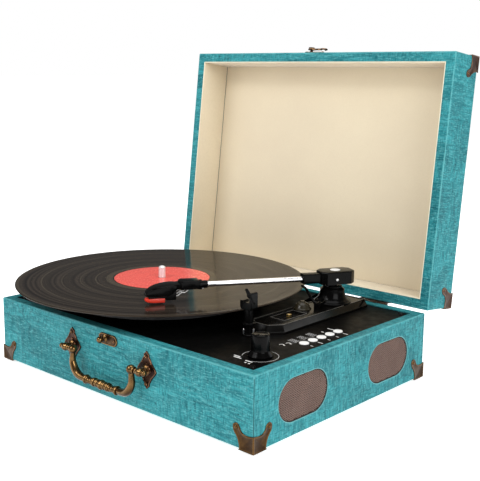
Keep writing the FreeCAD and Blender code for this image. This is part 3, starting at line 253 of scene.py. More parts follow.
def loft(rings):
    # a skin over closed rings of points, its ends filled
    bm = bmesh.new()
    loops = []
    for ring in rings:
        verts = [bm.verts.new(spot) for spot in ring]
        loops.append([bm.edges.new(pair) for pair in zip(verts, verts[1:] + verts[:1])])
    for first, last in zip(loops, loops[1:]):
        bmesh.ops.bridge_loops(bm, edges=first + last)
    bmesh.ops.holes_fill(bm, edges=bm.edges, sides=0)
    bmesh.ops.recalc_face_normals(bm, faces=bm.faces)
    return bm


def move(bm, matrix):
    bmesh.ops.transform(bm, matrix=matrix, verts=bm.verts)
    if matrix.determinant() < 0:
        bmesh.ops.reverse_faces(bm, faces=bm.faces)
    return bm


def shift(bm, x=0, y=0, z=0):
    return move(bm, Matrix.Translation((x, y, z)))


# a drawing's Z turned to look along -Y, and along +X
frontward = Matrix(((1, 0, 0, 0), (0, 0, -1, 0), (0, 1, 0, 0), (0, 0, 0, 1)))
sideward = Matrix(((0, 0, 1, 0), (1, 0, 0, 0), (0, 1, 0, 0), (0, 0, 0, 1)))


def copyOf(bm, matrix):
    return move(bm.copy(), matrix)


def join(shapes):
    target = shapes[0]
    for shape in shapes[1:]:
        mesh = bpy.data.meshes.new("joined")
        shape.to_mesh(mesh)
        shape.free()
        target.from_mesh(mesh)
        bpy.data.meshes.remove(mesh)
    return target


def facing(spot, normal, turn=0.0):
    # a frame whose Z is the normal, standing at a point
    return (Matrix.Translation(spot) @ Vector(normal).to_track_quat("Z", "Y").to_matrix().to_4x4()
            @ Matrix.Rotation(turn, 4, "Z"))


def markHollows(mesh):
    # a number on each point: above 0 in a hollow, below 0 on a ridge
    bm = bmesh.new()
    bm.from_mesh(mesh)
    values = []
    for vert in bm.verts:
        lean = [vert.normal.dot((e.other_vert(vert).co - vert.co).normalized()) for e in vert.link_edges]
        values.append(sum(lean) / max(len(lean), 1))
    bm.free()
    layer = mesh.attributes.new("hollow", "FLOAT", "POINT")
    layer.data.foreach_set("value", values)


def makePiece(name, bm, material, body, nodes=(), sharp=35, hollows=False):
    bmesh.ops.scale(bm, vec=(mm, mm, mm), verts=bm.verts)
    mesh = bpy.data.meshes.new(name)
    bm.to_mesh(mesh)
    bm.free()
    mesh.shade_smooth()
    mesh.set_sharp_from_angle(angle=math.radians(sharp))
    mesh.materials.append(material)
    if hollows:
        markHollows(mesh)
    piece = bpy.data.objects.new(name, mesh)
    bpy.context.scene.collection.objects.link(piece)
    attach(piece, body)
    if nodes:
        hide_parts(*nodes)
    return piece


# camera, floor and light
cameraSizes = {"place": (605.2, -618.1, 299.9), "azimuth": 42.31, "elevation": 10.82, "roll": 0.53,
               "lens": 65.8}
azimuth, elevation = math.radians(cameraSizes["azimuth"]), math.radians(cameraSizes["elevation"])
lookBack = Vector((math.sin(azimuth) * math.cos(elevation), -math.cos(azimuth) * math.cos(elevation),
                   math.sin(elevation)))
cameraData = bpy.data.cameras.new("camera")
cameraData.lens = cameraSizes["lens"]
camera = bpy.data.objects.new("camera", cameraData)
camera.location = Vector(cameraSizes["place"]) * mm
camera.rotation_euler = ((-lookBack).to_track_quat("-Z", "Y").to_matrix()
                         @ Matrix.Rotation(math.radians(cameraSizes["roll"]), 3, "Z")).to_euler()
bpy.context.scene.collection.objects.link(camera)
bpy.context.scene.camera = camera
bpy.context.scene.view_settings.view_transform = "Standard"

lightSizes = {
    # name: (place in metres, size in metres, power in watts)
    "keySoftbox": ((-0.75, -1.55, 1.35), 1.3, 17.5),
    "fillSoftbox": ((1.7, -0.55, 0.9), 1.2, 20),
    "topSoftbox": ((0.1, 0.1, 1.9), 1.6, 20),
    "backSoftbox": ((0.6, 1.7, 1.2), 1.2, 8),
    "glintSoftbox": ((-0.15, -1.2, 1.25), 0.22, 3.0),
}
for name, (place, size, power) in lightSizes.items():
    lamp = bpy.data.lights.new(name, "AREA")
    lamp.size = size
    lamp.energy = power
    holder = bpy.data.objects.new(name, lamp)
    holder.location = place
    holder.rotation_euler = (Vector((0, 0.03, 0.12)) - Vector(place)).to_track_quat("-Z", "Y").to_euler()
    bpy.context.scene.collection.objects.link(holder)

world = bpy.data.worlds.new("studio")
bpy.context.scene.world = world
world.use_nodes = True
worldSizes = {"seen": 1.0, "given": 0.30, "mirrored": 0.13}
sky = world.node_tree.nodes["Background"]
rays = world.node_tree.nodes.new("ShaderNodeLightPath")
amount = world.node_tree.nodes.new("ShaderNodeMapRange")
amount.inputs["To Min"].default_value = worldSizes["given"]
amount.inputs["To Max"].default_value = worldSizes["seen"]
world.node_tree.links.new(rays.outputs["Is Camera Ray"], amount.inputs["Value"])
dimmed = world.node_tree.nodes.new("ShaderNodeMix")
world.node_tree.links.new(rays.outputs["Is Glossy Ray"], dimmed.inputs[0])
world.node_tree.links.new(amount.outputs["Result"], dimmed.inputs[2])
dimmed.inputs[3].default_value = worldSizes["mirrored"]
world.node_tree.links.new(dimmed.outputs[0], sky.inputs["Strength"])
sky.inputs["Color"].default_value = (1, 1, 1, 1)

floorShape = bmesh.new()
bmesh.ops.create_grid(floorShape, x_segments=1, y_segments=1, size=40)
floorMesh = bpy.data.meshes.new("studioFloor")
floorShape.to_mesh(floorMesh)
floorShape.free()
studioFloor = bpy.data.objects.new("studioFloor", floorMesh)
bpy.context.scene.collection.objects.link(studioFloor)
print("camera, floor and lights")


# materials
class Finish:
    # one material's nodes, with short names for the few kinds used here
    def __init__(self, name):
        self.material = bpy.data.materials.new(name)
        self.material.use_nodes = True
        self.tree = self.material.node_tree
        self.shader = self.tree.nodes["Principled BSDF"]
        self.place = self.node("TexCoord")

    def feed(self, socket, value):
        if isinstance(value, bpy.types.NodeSocket):
            self.tree.links.new(value, socket)
        elif isinstance(value, tuple) and len(value) == 3 and socket.type == "RGBA":
            socket.default_value = (*value, 1)
        else:
            socket.default_value = value

    def node(self, kind, settings=None, inputs=None):
        made = self.tree.nodes.new("ShaderNode" + kind)
        for key, value in (settings or {}).items():
            setattr(made, key, value)
        for key, value in (inputs or {}).items():
            self.feed(made.inputs[key], value)
        return made

    def set(self, **sockets):
        # coatRoughness=0.2 sets the shader's Coat Roughness
        for key, value in sockets.items():
            title = "".join(" " + c if c.isupper() else c for c in key).title()
            title = title.replace("Ior", "IOR")
            self.feed(self.shader.inputs[title], value)
        return self

    def sums(self, kind, first, second=0.0, third=0.0):
        made = self.node("Math", {"operation": kind})
        for socket, value in zip(made.inputs, (first, second, third)):
            self.feed(socket, value)
        return made.outputs[0]

    def mapped(self, scale=(1, 1, 1), turn=(0, 0, 0), to=(0, 0, 0), source=None):
        made = self.node("Mapping", None, {"Vector": source or self.place.outputs["Object"],
                                           "Scale": scale, "Rotation": turn, "Location": to})
        return made.outputs[0]

    def noise(self, scale, source=None, detail=3.0, rough=0.55, bend=0.0):
        made = self.node("TexNoise", None, {"Vector": source or self.place.outputs["Object"],
                                            "Scale": scale, "Detail": detail, "Roughness": rough,
                                            "Distortion": bend})
        return made.outputs[0]

    def level(self, value, low, high, first=0.0, last=1.0):
        made = self.node("MapRange", None, {"Value": value, "From Min": low, "From Max": high,
                                            "To Min": first, "To Max": last})
        return made.outputs[0]

    def mix(self, amount, first, second, kind="MIX"):
        made = self.node("Mix", {"data_type": "RGBA", "blend_type": kind})
        self.feed(made.inputs[0], amount)
        self.feed(made.inputs[6], first)
        self.feed(made.inputs[7], second)
        return made.outputs[2]

    def bump(self, height, deep, after=None):
        made = self.node("Bump", None, {"Height": height, "Distance": deep})
        if after is not None:
            self.feed(made.inputs["Normal"], after)
        return made.outputs[0]


def shaded(colour, amount):
    return tuple(max(0.0, min(1.0, c * amount)) for c in colour)


def plainFinish(name, colour, rough=0.4, metal=0.0, patch=0.15, grain=900, deep=0.00003, spread=0.08,
                patchScale=35, worn=None, **more):
    # an even finish with soft patches of shade, a fine grain and uneven gloss
    finish = Finish(name)
    patches = finish.noise(patchScale, detail=4)
    fine = finish.noise(grain, detail=4, rough=0.6)
    tone = finish.mix(finish.level(patches, 0.3, 0.7), shaded(colour, 1 - patch), shaded(colour, 1 + patch))
    tone = finish.mix(finish.level(fine, 0.35, 0.75, 0.0, patch), tone, shaded(colour, 0.5))
    if worn:
        scuffs = finish.noise(220, detail=6, rough=0.7, bend=0.8)
        tone = finish.mix(finish.level(scuffs, 0.62, 0.72, 0.0, 0.55), tone, worn)
    gloss = finish.level(finish.noise(patchScale * 3, detail=5), 0.3, 0.7, rough - spread, rough + spread)
    finish.set(baseColor=tone, roughness=gloss, metallic=metal, normal=finish.bump(fine, deep), **more)
    return finish.material


leatherColours = {"mid": (0.012, 0.180, 0.205), "light": (0.048, 0.325, 0.352), "dark": (0.003, 0.070, 0.088),
                  "worn": (0.130, 0.420, 0.435), "speck": (0.002, 0.028, 0.038)}


def leatherette(name, low, high, turned):
    # printed canvas grain over board: streaks along X, and along Z on the two sides
    finish = Finish(name)
    if turned:
        to = hinge * mm - (Matrix.Rotation(lidAngle, 3, "X") @ (hinge * mm))
        spot = finish.mapped(turn=(lidAngle, 0, 0), to=tuple(to))
    else:
        spot = finish.mapped()
    normal = finish.node("SeparateXYZ", None, {"Vector": finish.place.outputs["Normal"]}).outputs[0]
    side = finish.sums("GREATER_THAN", finish.sums("ABSOLUTE", normal), 0.6)

    def grained(along, across, detail=3.0, rough=0.55):
        front = finish.noise(1, finish.mapped((along, across, across), source=spot), detail, rough)
        flank = finish.noise(1, finish.mapped((across, across, along), source=spot), detail, rough)
        return finish.sums("ADD", finish.sums("MULTIPLY", front, finish.sums("SUBTRACT", 1.0, side)),
                           finish.sums("MULTIPLY", flank, side))

    # printed blocks: some a little darker or lighter, and some with their grain turned
    blocks = finish.node("TexVoronoi", {"distance": "CHEBYCHEV"},
                         {"Vector": finish.mapped((17, 34, 34), source=spot), "Scale": 1.0}).outputs["Color"]
    blockTone = finish.node("SeparateColor", None, {"Color": blocks})
    across = finish.sums("GREATER_THAN", blockTone.outputs[1], 0.72)

    def woven(along, over, detail=3.0, rough=0.55):
        first, second = grained(along, over, detail, rough), grained(over * 0.7, along * 1.6, detail, rough)
        return finish.sums("ADD", finish.sums("MULTIPLY", first, finish.sums("SUBTRACT", 1.0, across)),
                           finish.sums("MULTIPLY", second, across))

    streaks = woven(38, 460, 5.0, 0.68)
    threads = grained(170, 1150, 3.0, 0.6)
    crossThreads = grained(1050, 190, 3.0, 0.6)
    colours = leatherColours
    tone = finish.mix(finish.level(streaks, 0.33, 0.67), colours["dark"], colours["light"])
    tone = finish.mix(0.30, tone, colours["mid"])
    tone = finish.mix(finish.level(blockTone.outputs[0], 0.60, 1.0, 0.0, 0.38), tone, colours["dark"])
    tone = finish.mix(finish.level(blockTone.outputs[0], 0.32, 0.0, 0.0, 0.30), tone, colours["light"])
    cloudy = finish.noise(16, spot, 4.0)
    tone = finish.mix(finish.level(cloudy, 0.45, 0.75, 0.0, 0.35), tone, colours["light"])
    tone = finish.mix(finish.level(threads, 0.50, 0.70, 0.0, 0.66), tone, colours["worn"])
    tone = finish.mix(finish.level(crossThreads, 0.50, 0.70, 0.0, 0.74), tone, colours["dark"])
    specks = grained(210, 620, 4.0, 0.7)
    where = finish.level(finish.noise(24, spot, 3.0), 0.42, 0.60)
    specks = finish.sums("MULTIPLY", finish.level(specks, 0.57, 0.66, 0.0, 0.90), where)
    tone = finish.mix(specks, tone, colours["speck"])
    # the edges: the middle one of the three distances to the box's faces is small near an edge
    parts = finish.node("SeparateXYZ", None, {"Vector": spot})
    x, y, z = parts.outputs[0], parts.outputs[1], parts.outputs[2]
    fromX = finish.sums("SUBTRACT", high.x * mm, finish.sums("ABSOLUTE", x))
    fromY = finish.sums("SUBTRACT", high.y * mm, finish.sums("ABSOLUTE", y))
    fromZ = finish.sums("MINIMUM", finish.sums("SUBTRACT", high.z * mm, z),
                        finish.sums("SUBTRACT", z, low.z * mm))
    least, most = finish.sums("MINIMUM", fromX, fromY), finish.sums("MAXIMUM", fromX, fromY)
    near = finish.sums("MAXIMUM", least, finish.sums("MINIMUM", most, fromZ))
    wander = finish.level(finish.noise(90, spot, 5.0, 0.65), 0.3, 0.7, -0.0006, 0.0006)
    ragged = finish.sums("ADD", near, wander)
    tone = finish.mix(finish.level(ragged, 0.0014, 0.0004, 0.0, 0.55), tone, colours["worn"])
    if not turned:
        seam = finish.level(most, 0.00075, 0.00045)
        seam = finish.sums("MULTIPLY", seam, finish.level(z, (high.z - 2.2) * mm, (high.z - 3.2) * mm))
        tone = finish.mix(seam, tone, (0.004, 0.035, 0.040))
    gloss = finish.level(finish.noise(60, spot, 4.0), 0.3, 0.7, 0.46, 0.62)
    weave = finish.sums("ADD", threads, crossThreads)
    relief = finish.bump(weave, 0.00007)
    relief = finish.bump(streaks, 0.00010, relief)
    finish.set(baseColor=tone, roughness=gloss, normal=relief, specularIorLevel=0.10)
    return finish.material


def bronzeFinish(name, bright, dark, rough=0.34, spread=0.10):
    # aged metal, dark in the hollows and rubbed bright on the ridges, with painted shade on the faces that
    # turn downward
    finish = Finish(name)
    hollow = finish.node("Attribute", {"attribute_name": "hollow"}).outputs["Fac"]
    clouds = finish.noise(130, detail=5, rough=0.62)
    fine = finish.noise(900, detail=4, rough=0.65)
    rub = finish.sums("SUBTRACT", finish.level(clouds, 0.30, 0.70, 0.15, 0.85),
                      finish.sums("MULTIPLY", hollow, 2.6))
    tone = finish.mix(finish.level(rub, 0.0, 1.0), dark, bright)
    tone = finish.mix(finish.level(fine, 0.55, 0.75, 0.0, 0.55), tone, shaded(dark, 0.45))
    # painted shade: the faces that turn downward are darkened towards the dark colour
    facing = finish.node("SeparateXYZ", None, {"Vector": finish.place.outputs["Normal"]}).outputs[2]
    tone = finish.mix(finish.level(facing, 0.30, -0.45, 0.0, 0.85), tone, dark)
    gloss = finish.level(rub, 0.0, 1.0, rough + spread, rough - spread)
    finish.set(baseColor=tone, metallic=0.92, roughness=gloss, normal=finish.bump(fine, 0.00004))
    return finish.material


def liningFinish():
    finish = Finish("creamLining")
    spot = finish.mapped(turn=(lidAngle, 0, 0))
    across = finish.noise(1, finish.mapped((380, 3400, 3400), source=spot), 2.0)
    down = finish.noise(1, finish.mapped((3400, 380, 380), source=spot), 2.0)
    weave = finish.sums("ADD", across, down)
    clouds = finish.noise(9, spot, 4.0)
    tone = finish.mix(finish.level(clouds, 0.3, 0.7), (0.665, 0.578, 0.428), (0.718, 0.632, 0.467))
    tone = finish.mix(finish.level(weave, 0.85, 1.25, 0.0, 0.35), tone, (0.620, 0.530, 0.385))
    specks = finish.noise(520, spot, 3.0, 0.7)
    tone = finish.mix(finish.level(specks, 0.68, 0.76, 0.0, 0.35), tone, (0.46, 0.34, 0.20))
    finish.set(baseColor=tone, roughness=finish.level(clouds, 0.3, 0.7, 0.78, 0.9), sheenWeight=0.25,
               sheenRoughness=0.5, specularIorLevel=0.25, normal=finish.bump(weave, 0.00008))
    return finish.material


def fromSpindle(finish):
    # places measured from the spindle, and their distance from its axis
    spot = finish.mapped(to=(-spindleSpot.x * mm, -spindleSpot.y * mm, 0))
    parts = finish.node("SeparateXYZ", None, {"Vector": spot})
    flat = finish.node("CombineXYZ", None, {"X": parts.outputs[0], "Y": parts.outputs[1]}).outputs[0]
    radius = finish.node("VectorMath", {"operation": "LENGTH"}, {0: flat}).outputs["Value"]
    return spot, radius


def vinylFinish():
    # fine bumped rings about the spindle; broad rings of painted sheen, and paler rings of painted sheen at
    # the gaps, the run-out and the edge
    finish = Finish("blackVinyl")
    spot, radius = fromSpindle(finish)
    ring = finish.node("CombineXYZ", None, {"X": radius}).outputs[0]
    fine = finish.noise(1, finish.mapped((5200, 1, 1), source=ring), 2.0, 0.6)
    broad = finish.noise(1, finish.mapped((210, 1, 1), source=ring), 4.0, 0.6)
    dust = finish.noise(900, spot, 3.0, 0.7)
    # painted sheen: the colour swings in broad rings from near black to a warm brown, standing in for the
    # lid's reflection in the grooves
    tone = finish.mix(finish.level(broad, 0.38, 0.62), (0.0080, 0.0058, 0.0046), (0.038, 0.029, 0.022))
    # painted sheen: paler warm rings at the track gaps, the run-out and the edge
    for middle, half, amount in ((0.124, 0.0007, 0.5), (0.1035, 0.0006, 0.4), (0.0845, 0.0006, 0.5),
                                 (0.069, 0.0007, 0.6), (0.0546, 0.0036, 0.5), (0.1478, 0.0012, 0.4)):
        ring = finish.sums("COMPARE", radius, middle, half)
        tone = finish.mix(finish.sums("MULTIPLY", ring, amount), tone, (0.085, 0.070, 0.048))
    tone = finish.mix(finish.level(dust, 0.66, 0.80, 0.0, 0.25), tone, (0.10, 0.09, 0.08))
    finish.set(baseColor=tone, roughness=finish.level(broad, 0.3, 0.75, 0.08, 0.18),
               specularIorLevel=0.085, normal=finish.bump(fine, 0.0000005))
    return finish.material


def labelFinish():
    finish = Finish("coralLabel")
    spot, radius = fromSpindle(finish)
    fibres = finish.noise(700, spot, 4.0)
    tone = finish.mix(finish.level(fibres, 0.3, 0.7), (0.78, 0.105, 0.085), (0.86, 0.135, 0.105))
    ring = finish.sums("COMPARE", radius, 0.0165, 0.0002)
    tone = finish.mix(finish.sums("MULTIPLY", ring, 0.45), tone, (0.45, 0.05, 0.05))
    edge = finish.level(radius, 0.0488, 0.0498)
    tone = finish.mix(finish.sums("MULTIPLY", edge, 0.35), tone, (0.35, 0.05, 0.04))
    finish.set(baseColor=tone, roughness=finish.level(fibres, 0.3, 0.7, 0.20, 0.30),
               specularIorLevel=0.35, normal=finish.bump(fibres, 0.00001))
    return finish.material


def boardFinish():
    finish = Finish("fibreBoard")
    fibres = finish.noise(1, finish.mapped((900, 240, 900)), 4.0, 0.7)
    clouds = finish.noise(20, detail=4)
    tone = finish.mix(finish.level(fibres, 0.3, 0.7), (0.26, 0.17, 0.10), (0.42, 0.30, 0.19))
    tone = finish.mix(finish.level(clouds, 0.35, 0.7, 0.0, 0.4), tone, (0.22, 0.14, 0.08))
    finish.set(baseColor=tone, roughness=0.8, normal=finish.bump(fibres, 0.0001))
    return finish.material


def brushedFinish(name, colour, rough, along, cross=2600):
    # drawn metal with fine lines along one axis
    finish = Finish(name)
    scale = tuple(60 if a else cross for a in along)
    lines = finish.noise(1, finish.mapped(scale), 3.0, 0.6)
    tone = finish.mix(finish.level(lines, 0.3, 0.7), shaded(colour, 0.9), colour)
    gloss = finish.level(lines, 0.3, 0.7, rough * 0.7, rough * 1.4)
    finish.set(baseColor=tone, metallic=1.0, roughness=gloss, normal=finish.bump(lines, 0.000004))
    return finish.material


caseLeather = leatherette("caseLeatherette", caseLow, caseHigh, False)
lidLeather = leatherette("lidLeatherette", lidLow, lidHigh, True)
creamLining = liningFinish()
blackVinyl = vinylFinish()
coralLabel = labelFinish()
fibreBoard = boardFinish()
guardBronze = bronzeFinish("guardBronze", (0.135, 0.070, 0.022), (0.034, 0.016, 0.006), 0.38)
lidBronze = bronzeFinish("lidBronze", (0.165, 0.088, 0.046), (0.048, 0.024, 0.017), 0.42)
handleBronze = bronzeFinish("handleBronze", (0.225, 0.128, 0.046), (0.018, 0.008, 0.004), 0.25)
plateBronze = bronzeFinish("plateBronze", (0.130, 0.062, 0.032), (0.022, 0.009, 0.006), 0.30)
fittingBronze = bronzeFinish("fittingBronze", (0.230, 0.130, 0.062), (0.045, 0.022, 0.013), 0.34)
deckBlack = plainFinish("deckBlack", (0.0016, 0.0015, 0.0014), 0.42, patch=0.2, grain=2600, deep=0.00001,
                        specularIorLevel=0.045)
mouldedBlack = plainFinish("mouldedBlack", (0.0018, 0.0017, 0.0017), 0.17, patch=0.2, grain=1400,
                           deep=0.000004, spread=0.04, specularIorLevel=0.08)
satinBlack = plainFinish("satinBlack", (0.0028, 0.0026, 0.0026), 0.28, patch=0.2, grain=2200, deep=0.000008,
                         specularIorLevel=0.12)
greyPlastic = plainFinish("greyPlastic", (0.035, 0.035, 0.036), 0.5, grain=1200, deep=0.00004)
rubberBlack = plainFinish("rubberBlack", (0.018, 0.018, 0.018), 0.75, grain=1500, deep=0.00008)
buttonWhite = plainFinish("buttonWhite", (0.86, 0.86, 0.84), 0.22, patch=0.03, grain=1200, deep=0.00001)
paintWhite = plainFinish("paintWhite", (0.74, 0.74, 0.72), 0.5, patch=0.12, grain=3000, deep=0.00001)
paintGrey = plainFinish("paintGrey", (0.42, 0.42, 0.42), 0.5, patch=0.3, grain=2200, deep=0.00001)
redPlastic = plainFinish("redPlastic", (0.80, 0.045, 0.022), 0.22, patch=0.06, grain=1200, deep=0.00001)
polishedChrome = brushedFinish("polishedChrome", (0.86, 0.86, 0.88), 0.10, (1, 1, 0))
drawnSteel = brushedFinish("drawnSteel", (0.55, 0.55, 0.57), 0.30, (0, 0, 1))
turnedBrass = brushedFinish("turnedBrass", (0.70, 0.50, 0.20), 0.28, (1, 1, 0))
conePaper = plainFinish("conePaper", (0.045, 0.042, 0.040), 0.85, grain=1600, deep=0.0001)
boardGreen = plainFinish("boardGreen", (0.03, 0.16, 0.07), 0.4, grain=1800, deep=0.00003)
grilleBrown = plainFinish("grilleBrown", (0.165, 0.101, 0.080), 0.55, patch=0.12, grain=1800, deep=0.00003)
grilleDark = plainFinish("grilleDark", (0.018, 0.011, 0.009), 0.8, grain=1500, deep=0.00005)
# teal a little lighter than the leather, for the rims of the openings: a painted highlight
rimHighlightTeal = plainFinish("rimHighlightTeal", (0.085, 0.300, 0.315), 0.6, patch=0.25, grain=1500, deep=0.00003)
lipCream = plainFinish("lipCream", (0.86, 0.80, 0.62), 0.7, patch=0.05, grain=1500, deep=0.00002)
tubeChrome = plainFinish("tubeChrome", (0.82, 0.82, 0.84), 0.09, metal=1.0, patch=0.03, grain=1500,
                         deep=0.000002, spread=0.02)
plinthBlack = plainFinish("plinthBlack", (0.0026, 0.0023, 0.0020), 0.19, patch=0.2, grain=1400, deep=0.000004,
                          spread=0.04, worn=(0.030, 0.027, 0.022), specularIorLevel=0.17)
# pale grey for thin lines along the plinth's edges: painted highlights
paintedEdgeHighlight = plainFinish("paintedEdgeHighlight", (0.110, 0.102, 0.088), 0.3, patch=0.5, grain=900, deep=0.000004)
# dark metal with an olive tint; the tint is a painted reflection of the cream lining
domePaintedReflection = plainFinish("domePaintedReflection", (0.022, 0.018, 0.010), 0.26, patch=0.3, grain=1200, deep=0.000004,
                        specularIorLevel=0.3)
discWhite = plainFinish("discWhite", (0.78, 0.78, 0.77), 0.3, patch=0.05, grain=1500, deep=0.000004)
spindleSteel = plainFinish("spindleSteel", (0.88, 0.88, 0.89), 0.32, metal=0.35, patch=0.05, grain=1500,
                           deep=0.000004)
hingeDark = bronzeFinish("hingeDark", (0.080, 0.050, 0.032), (0.020, 0.012, 0.008), 0.42)
leadWhite = plainFinish("leadWhite", (0.80, 0.80, 0.79), 0.4, patch=0.1, grain=2500, deep=0.00001)

dressedNodes = (
    (caseLeather, "base_case"), (lidLeather, "lid_frame lid_panel"),
    (fibreBoard, "bottom_panel corner_blocks"), (rubberBlack, "rubber_feet platter_mat drive_belt"),
    (deckBlack, "top_plate"), (greyPlastic, "platter"),
    (turnedBrass, "bearing_bush rear_jacks speed_lever"), (spindleSteel, "spindle"),
    (drawnSteel, "motor_case motor_pulley speaker_frames potentiometer"), (conePaper, "speaker_cones"),
    (boardGreen, "control_board main_board"), (polishedChrome, "arm_tube"),
    (satinBlack, "tact_switches jack_panel arm_yoke plate_screws arm_housing cartridge"),
    (mouldedBlack, "tonearm_base turret_cone headshell cue_lever arm_rest arm_clip volume_knob"),
    (hingeDark, "base_hinge_leaves lid_hinge_leaves hinge_pins"), (plateBronze, "handle_plates"),
    (guardBronze, "base_guard_nails base_corner_guards"), (lidBronze, "lid_guard_nails lid_corner_guards"),
    (fittingBronze, "fitting_screws lid_fitting_screws latch_plate latch_hook"),
    (handleBronze, "handle_posts handle_bail catch_plate"), (blackVinyl, "vinyl_record"),
    (coralLabel, "record_label"), (redPlastic, "stylus"), (grilleBrown, "speaker_grilles"),
    (creamLining, "lid_lining"),
    (buttonWhite, "source_button previous_button play_button next_button record_button"),
)
for material, names in dressedNodes:
    for name in names.split():
        mesh = frame["nodes"][name].data
        mesh.materials.clear()
        mesh.materials.append(material)
floorFinish = Finish("paleFloor")
floorFinish.set(baseColor=(0.93, 0.93, 0.93), roughness=0.9, specularIorLevel=0.1,
                emissionColor=(1, 1, 1), emissionStrength=0.76)
floorMesh.materials.append(floorFinish.material)
print("materials")

# corner guards: a plate on each face, a crease bead, a foot and a nail on each lobe
guardSizes = {"thick": 0.8, "crease": 0.8, "nail": 1.8, "lip": 0.3}


def nailHead(radius, tall):
    return lathe([(0, tall), (radius * 0.45, tall * 0.9), (radius * 0.8, tall * 0.55), (radius, 0.05),
                  (radius, -0.1), (0, -0.1)], 20)


def guardCorner():
    thick, lip = guardSizes["thick"], guardSizes["lip"]
    outline = [(-thick, -thick), (15, -thick), (15.2, 4), (17.2, 9.6), (21.6, 14.2), (22.2, 19.8),
               (18.4, 21.8), (15.0, 19.8), (13.4, 15.4), (9.2, 12.9), (4, 13.3), (-thick, 14.2)]
    plate, top = raised(softened(outline, sharp=(0, 1, 11)), thick - lip)
    inset(plate, top, lip, lip)
    inset(plate, top, 0.9)
    inset(plate, top, 0.35, -0.2)
    join([plate, shift(nailHead(guardSizes["nail"], 1.0), 18.6, 17.6, thick - 0.15)])
    flank = Matrix(((0, 0, -1, 0), (1, 0, 0, 0), (0, 1, 0, 0), (0, 0, 0, 1)))
    foot, top = raised([(-thick, -thick), (15.5, -thick), (12.5, 6.9), (6.9, 12.5), (-thick, 15.5)],
                       thick, -thick)
    bead = sweep([(-0.2, -0.2, -0.5), (-0.2, -0.2, 7), (-0.2, -0.2, 13.8)], guardSizes["crease"], sides=3)
    return join([copyOf(plate, frontward), move(plate, flank), foot, bead])


def fourCorners(high, upward):
    corner = guardCorner()
    shapes = []
    for i in (1, -1):
        for j in (1, -1):
            place = Matrix.Translation((-i * caseHigh.x, -j * caseHigh.y, high))
            shapes.append(copyOf(corner, place @ Matrix.Diagonal((i, j, upward, 1))))
    corner.free()
    return join(shapes)


makePiece("baseCornerGuards", fourCorners(caseLow.z, 1), guardBronze, "chassis",
          ("base_corner_guards", "base_guard_nails"), hollows=True)
makePiece("lidCornerGuards", move(fourCorners(lidHigh.z, -1), lidTurn), lidBronze, "lid",
          ("lid_corner_guards", "lid_guard_nails"), hollows=True)
print("corner guards")


# screws with a crossed slot
def crossHead(radius, tall, slot=0.22):
    quarter = [(slot, slot)] + [(max(x, slot), max(y, slot)) for x, y in arc(0, 0, radius, 8, 82, 6)]
    shapes = [lathe([(0, tall * 0.35), (radius, tall * 0.35), (radius, -0.1), (0, -0.1)], 20)]
    for turn in range(4):
        piece, top = raised(quarter, tall * 0.7, 0)
        inset(piece, top, radius * 0.18, tall * 0.3)
        shapes.append(move(piece, Matrix.Rotation(turn * math.pi / 2, 4, "Z")))
    return join(shapes)


def screwSet(node, turn):
    shapes = []
    for low, high in looseBoxes(node, turn.inverted()):
        middle = (low + high) / 2
        out = 1 if middle.y > 0 else -1
        spot = (middle.x, low.y if out > 0 else high.y, middle.z)
        head = crossHead((high.x - low.x) / 2, high.y - low.y)
        shapes.append(move(head, turn @ facing(spot, (0, out, 0), random.uniform(0, 1.5))))
    return join(shapes)


makePiece("fittingScrews", screwSet("fitting_screws", Matrix.Identity(4)), fittingBronze, "chassis",
          ("fitting_screws",), hollows=True)
makePiece("lidFittingScrews", screwSet("lid_fitting_screws", lidTurn), fittingBronze, "lid",
          ("lid_fitting_screws",), hollows=True)
print("screws")

# handle: two stepped plates, posts with an eye, and the turned bail
handleSizes = {"field": 0.45, "ridge": 0.75, "eye": 4.0, "bore": 1.65, "rod": 3.2, "twist": 1.5}
frontFace = caseLow.y
handleSpot = jointSpot("handle_swing")
plateLow, plateHigh = span("handle_plates")
postReach = (plateHigh.x - plateLow.x) / 2 - 12.5
legReach = postReach - 11.5
bailLow = span("handle_bail")[0].z + 4.8


def handlePlate():
    quarter = [(0, 17.5), (1.7, 15.9), (3.6, 14.4), (3.0, 12.4), (4.6, 11.0), (5.6, 8.8), (7.0, 6.6),
               (9.0, 4.6), (10.2, 3.4), (12.5, 0)]
    half = quarter + [(x, -y) for x, y in reversed(quarter[:-1])]
    outline = half + [(-x, y) for x, y in reversed(half[1:-1])]
    plate, top = raised(softened(outline, sharp=(0, 9, 18, 27), rounds=1), 0.8)
    inset(plate, top, 0.3, 0.45)
    inset(plate, top, handleSizes["ridge"])
    inset(plate, top, 0.3, -handleSizes["field"])
    boss, top = raised([(x * 0.52, y * 0.42) for x, y in outline], 1.3)
    inset(boss, top, 0.5, 0.6)
    rosette = lathe([(0, 2.5), (3.6, 2.5), (4.5, 2.1), (5.0, 1.4), (5.1, 0.8), (0, 0.8)], 32)
    beads = [ball(0.75, sx * 5.6, sy * 6.6, 1.0, 10) for sx in (1, -1) for sy in (1, -1)]
    return join([plate, boss, rosette] + beads)


def handlePost():
    # a flared foot and neck, and an eye for the bail's pin
    reach = frontFace - handleSpot.y
    neck = lathe([(0, 2.0), (4.4, 2.0), (4.7, 2.6), (3.9, 3.2), (2.9, 3.7), (2.4, 4.7), (2.5, reach - 3.2),
                  (0, reach - 2.9)], 28)
    eye = lathe([(handleSizes["bore"], -2.5), (2.6, -2.8), (3.4, -2.3), (3.9, -1.1), (handleSizes["eye"], 0),
                 (3.9, 1.1), (3.4, 2.3), (2.6, 2.8), (handleSizes["bore"], 2.5)], 32, loop=True)
    return join([neck, move(eye, facing((0, 0, reach), (1, 0, 0)))])


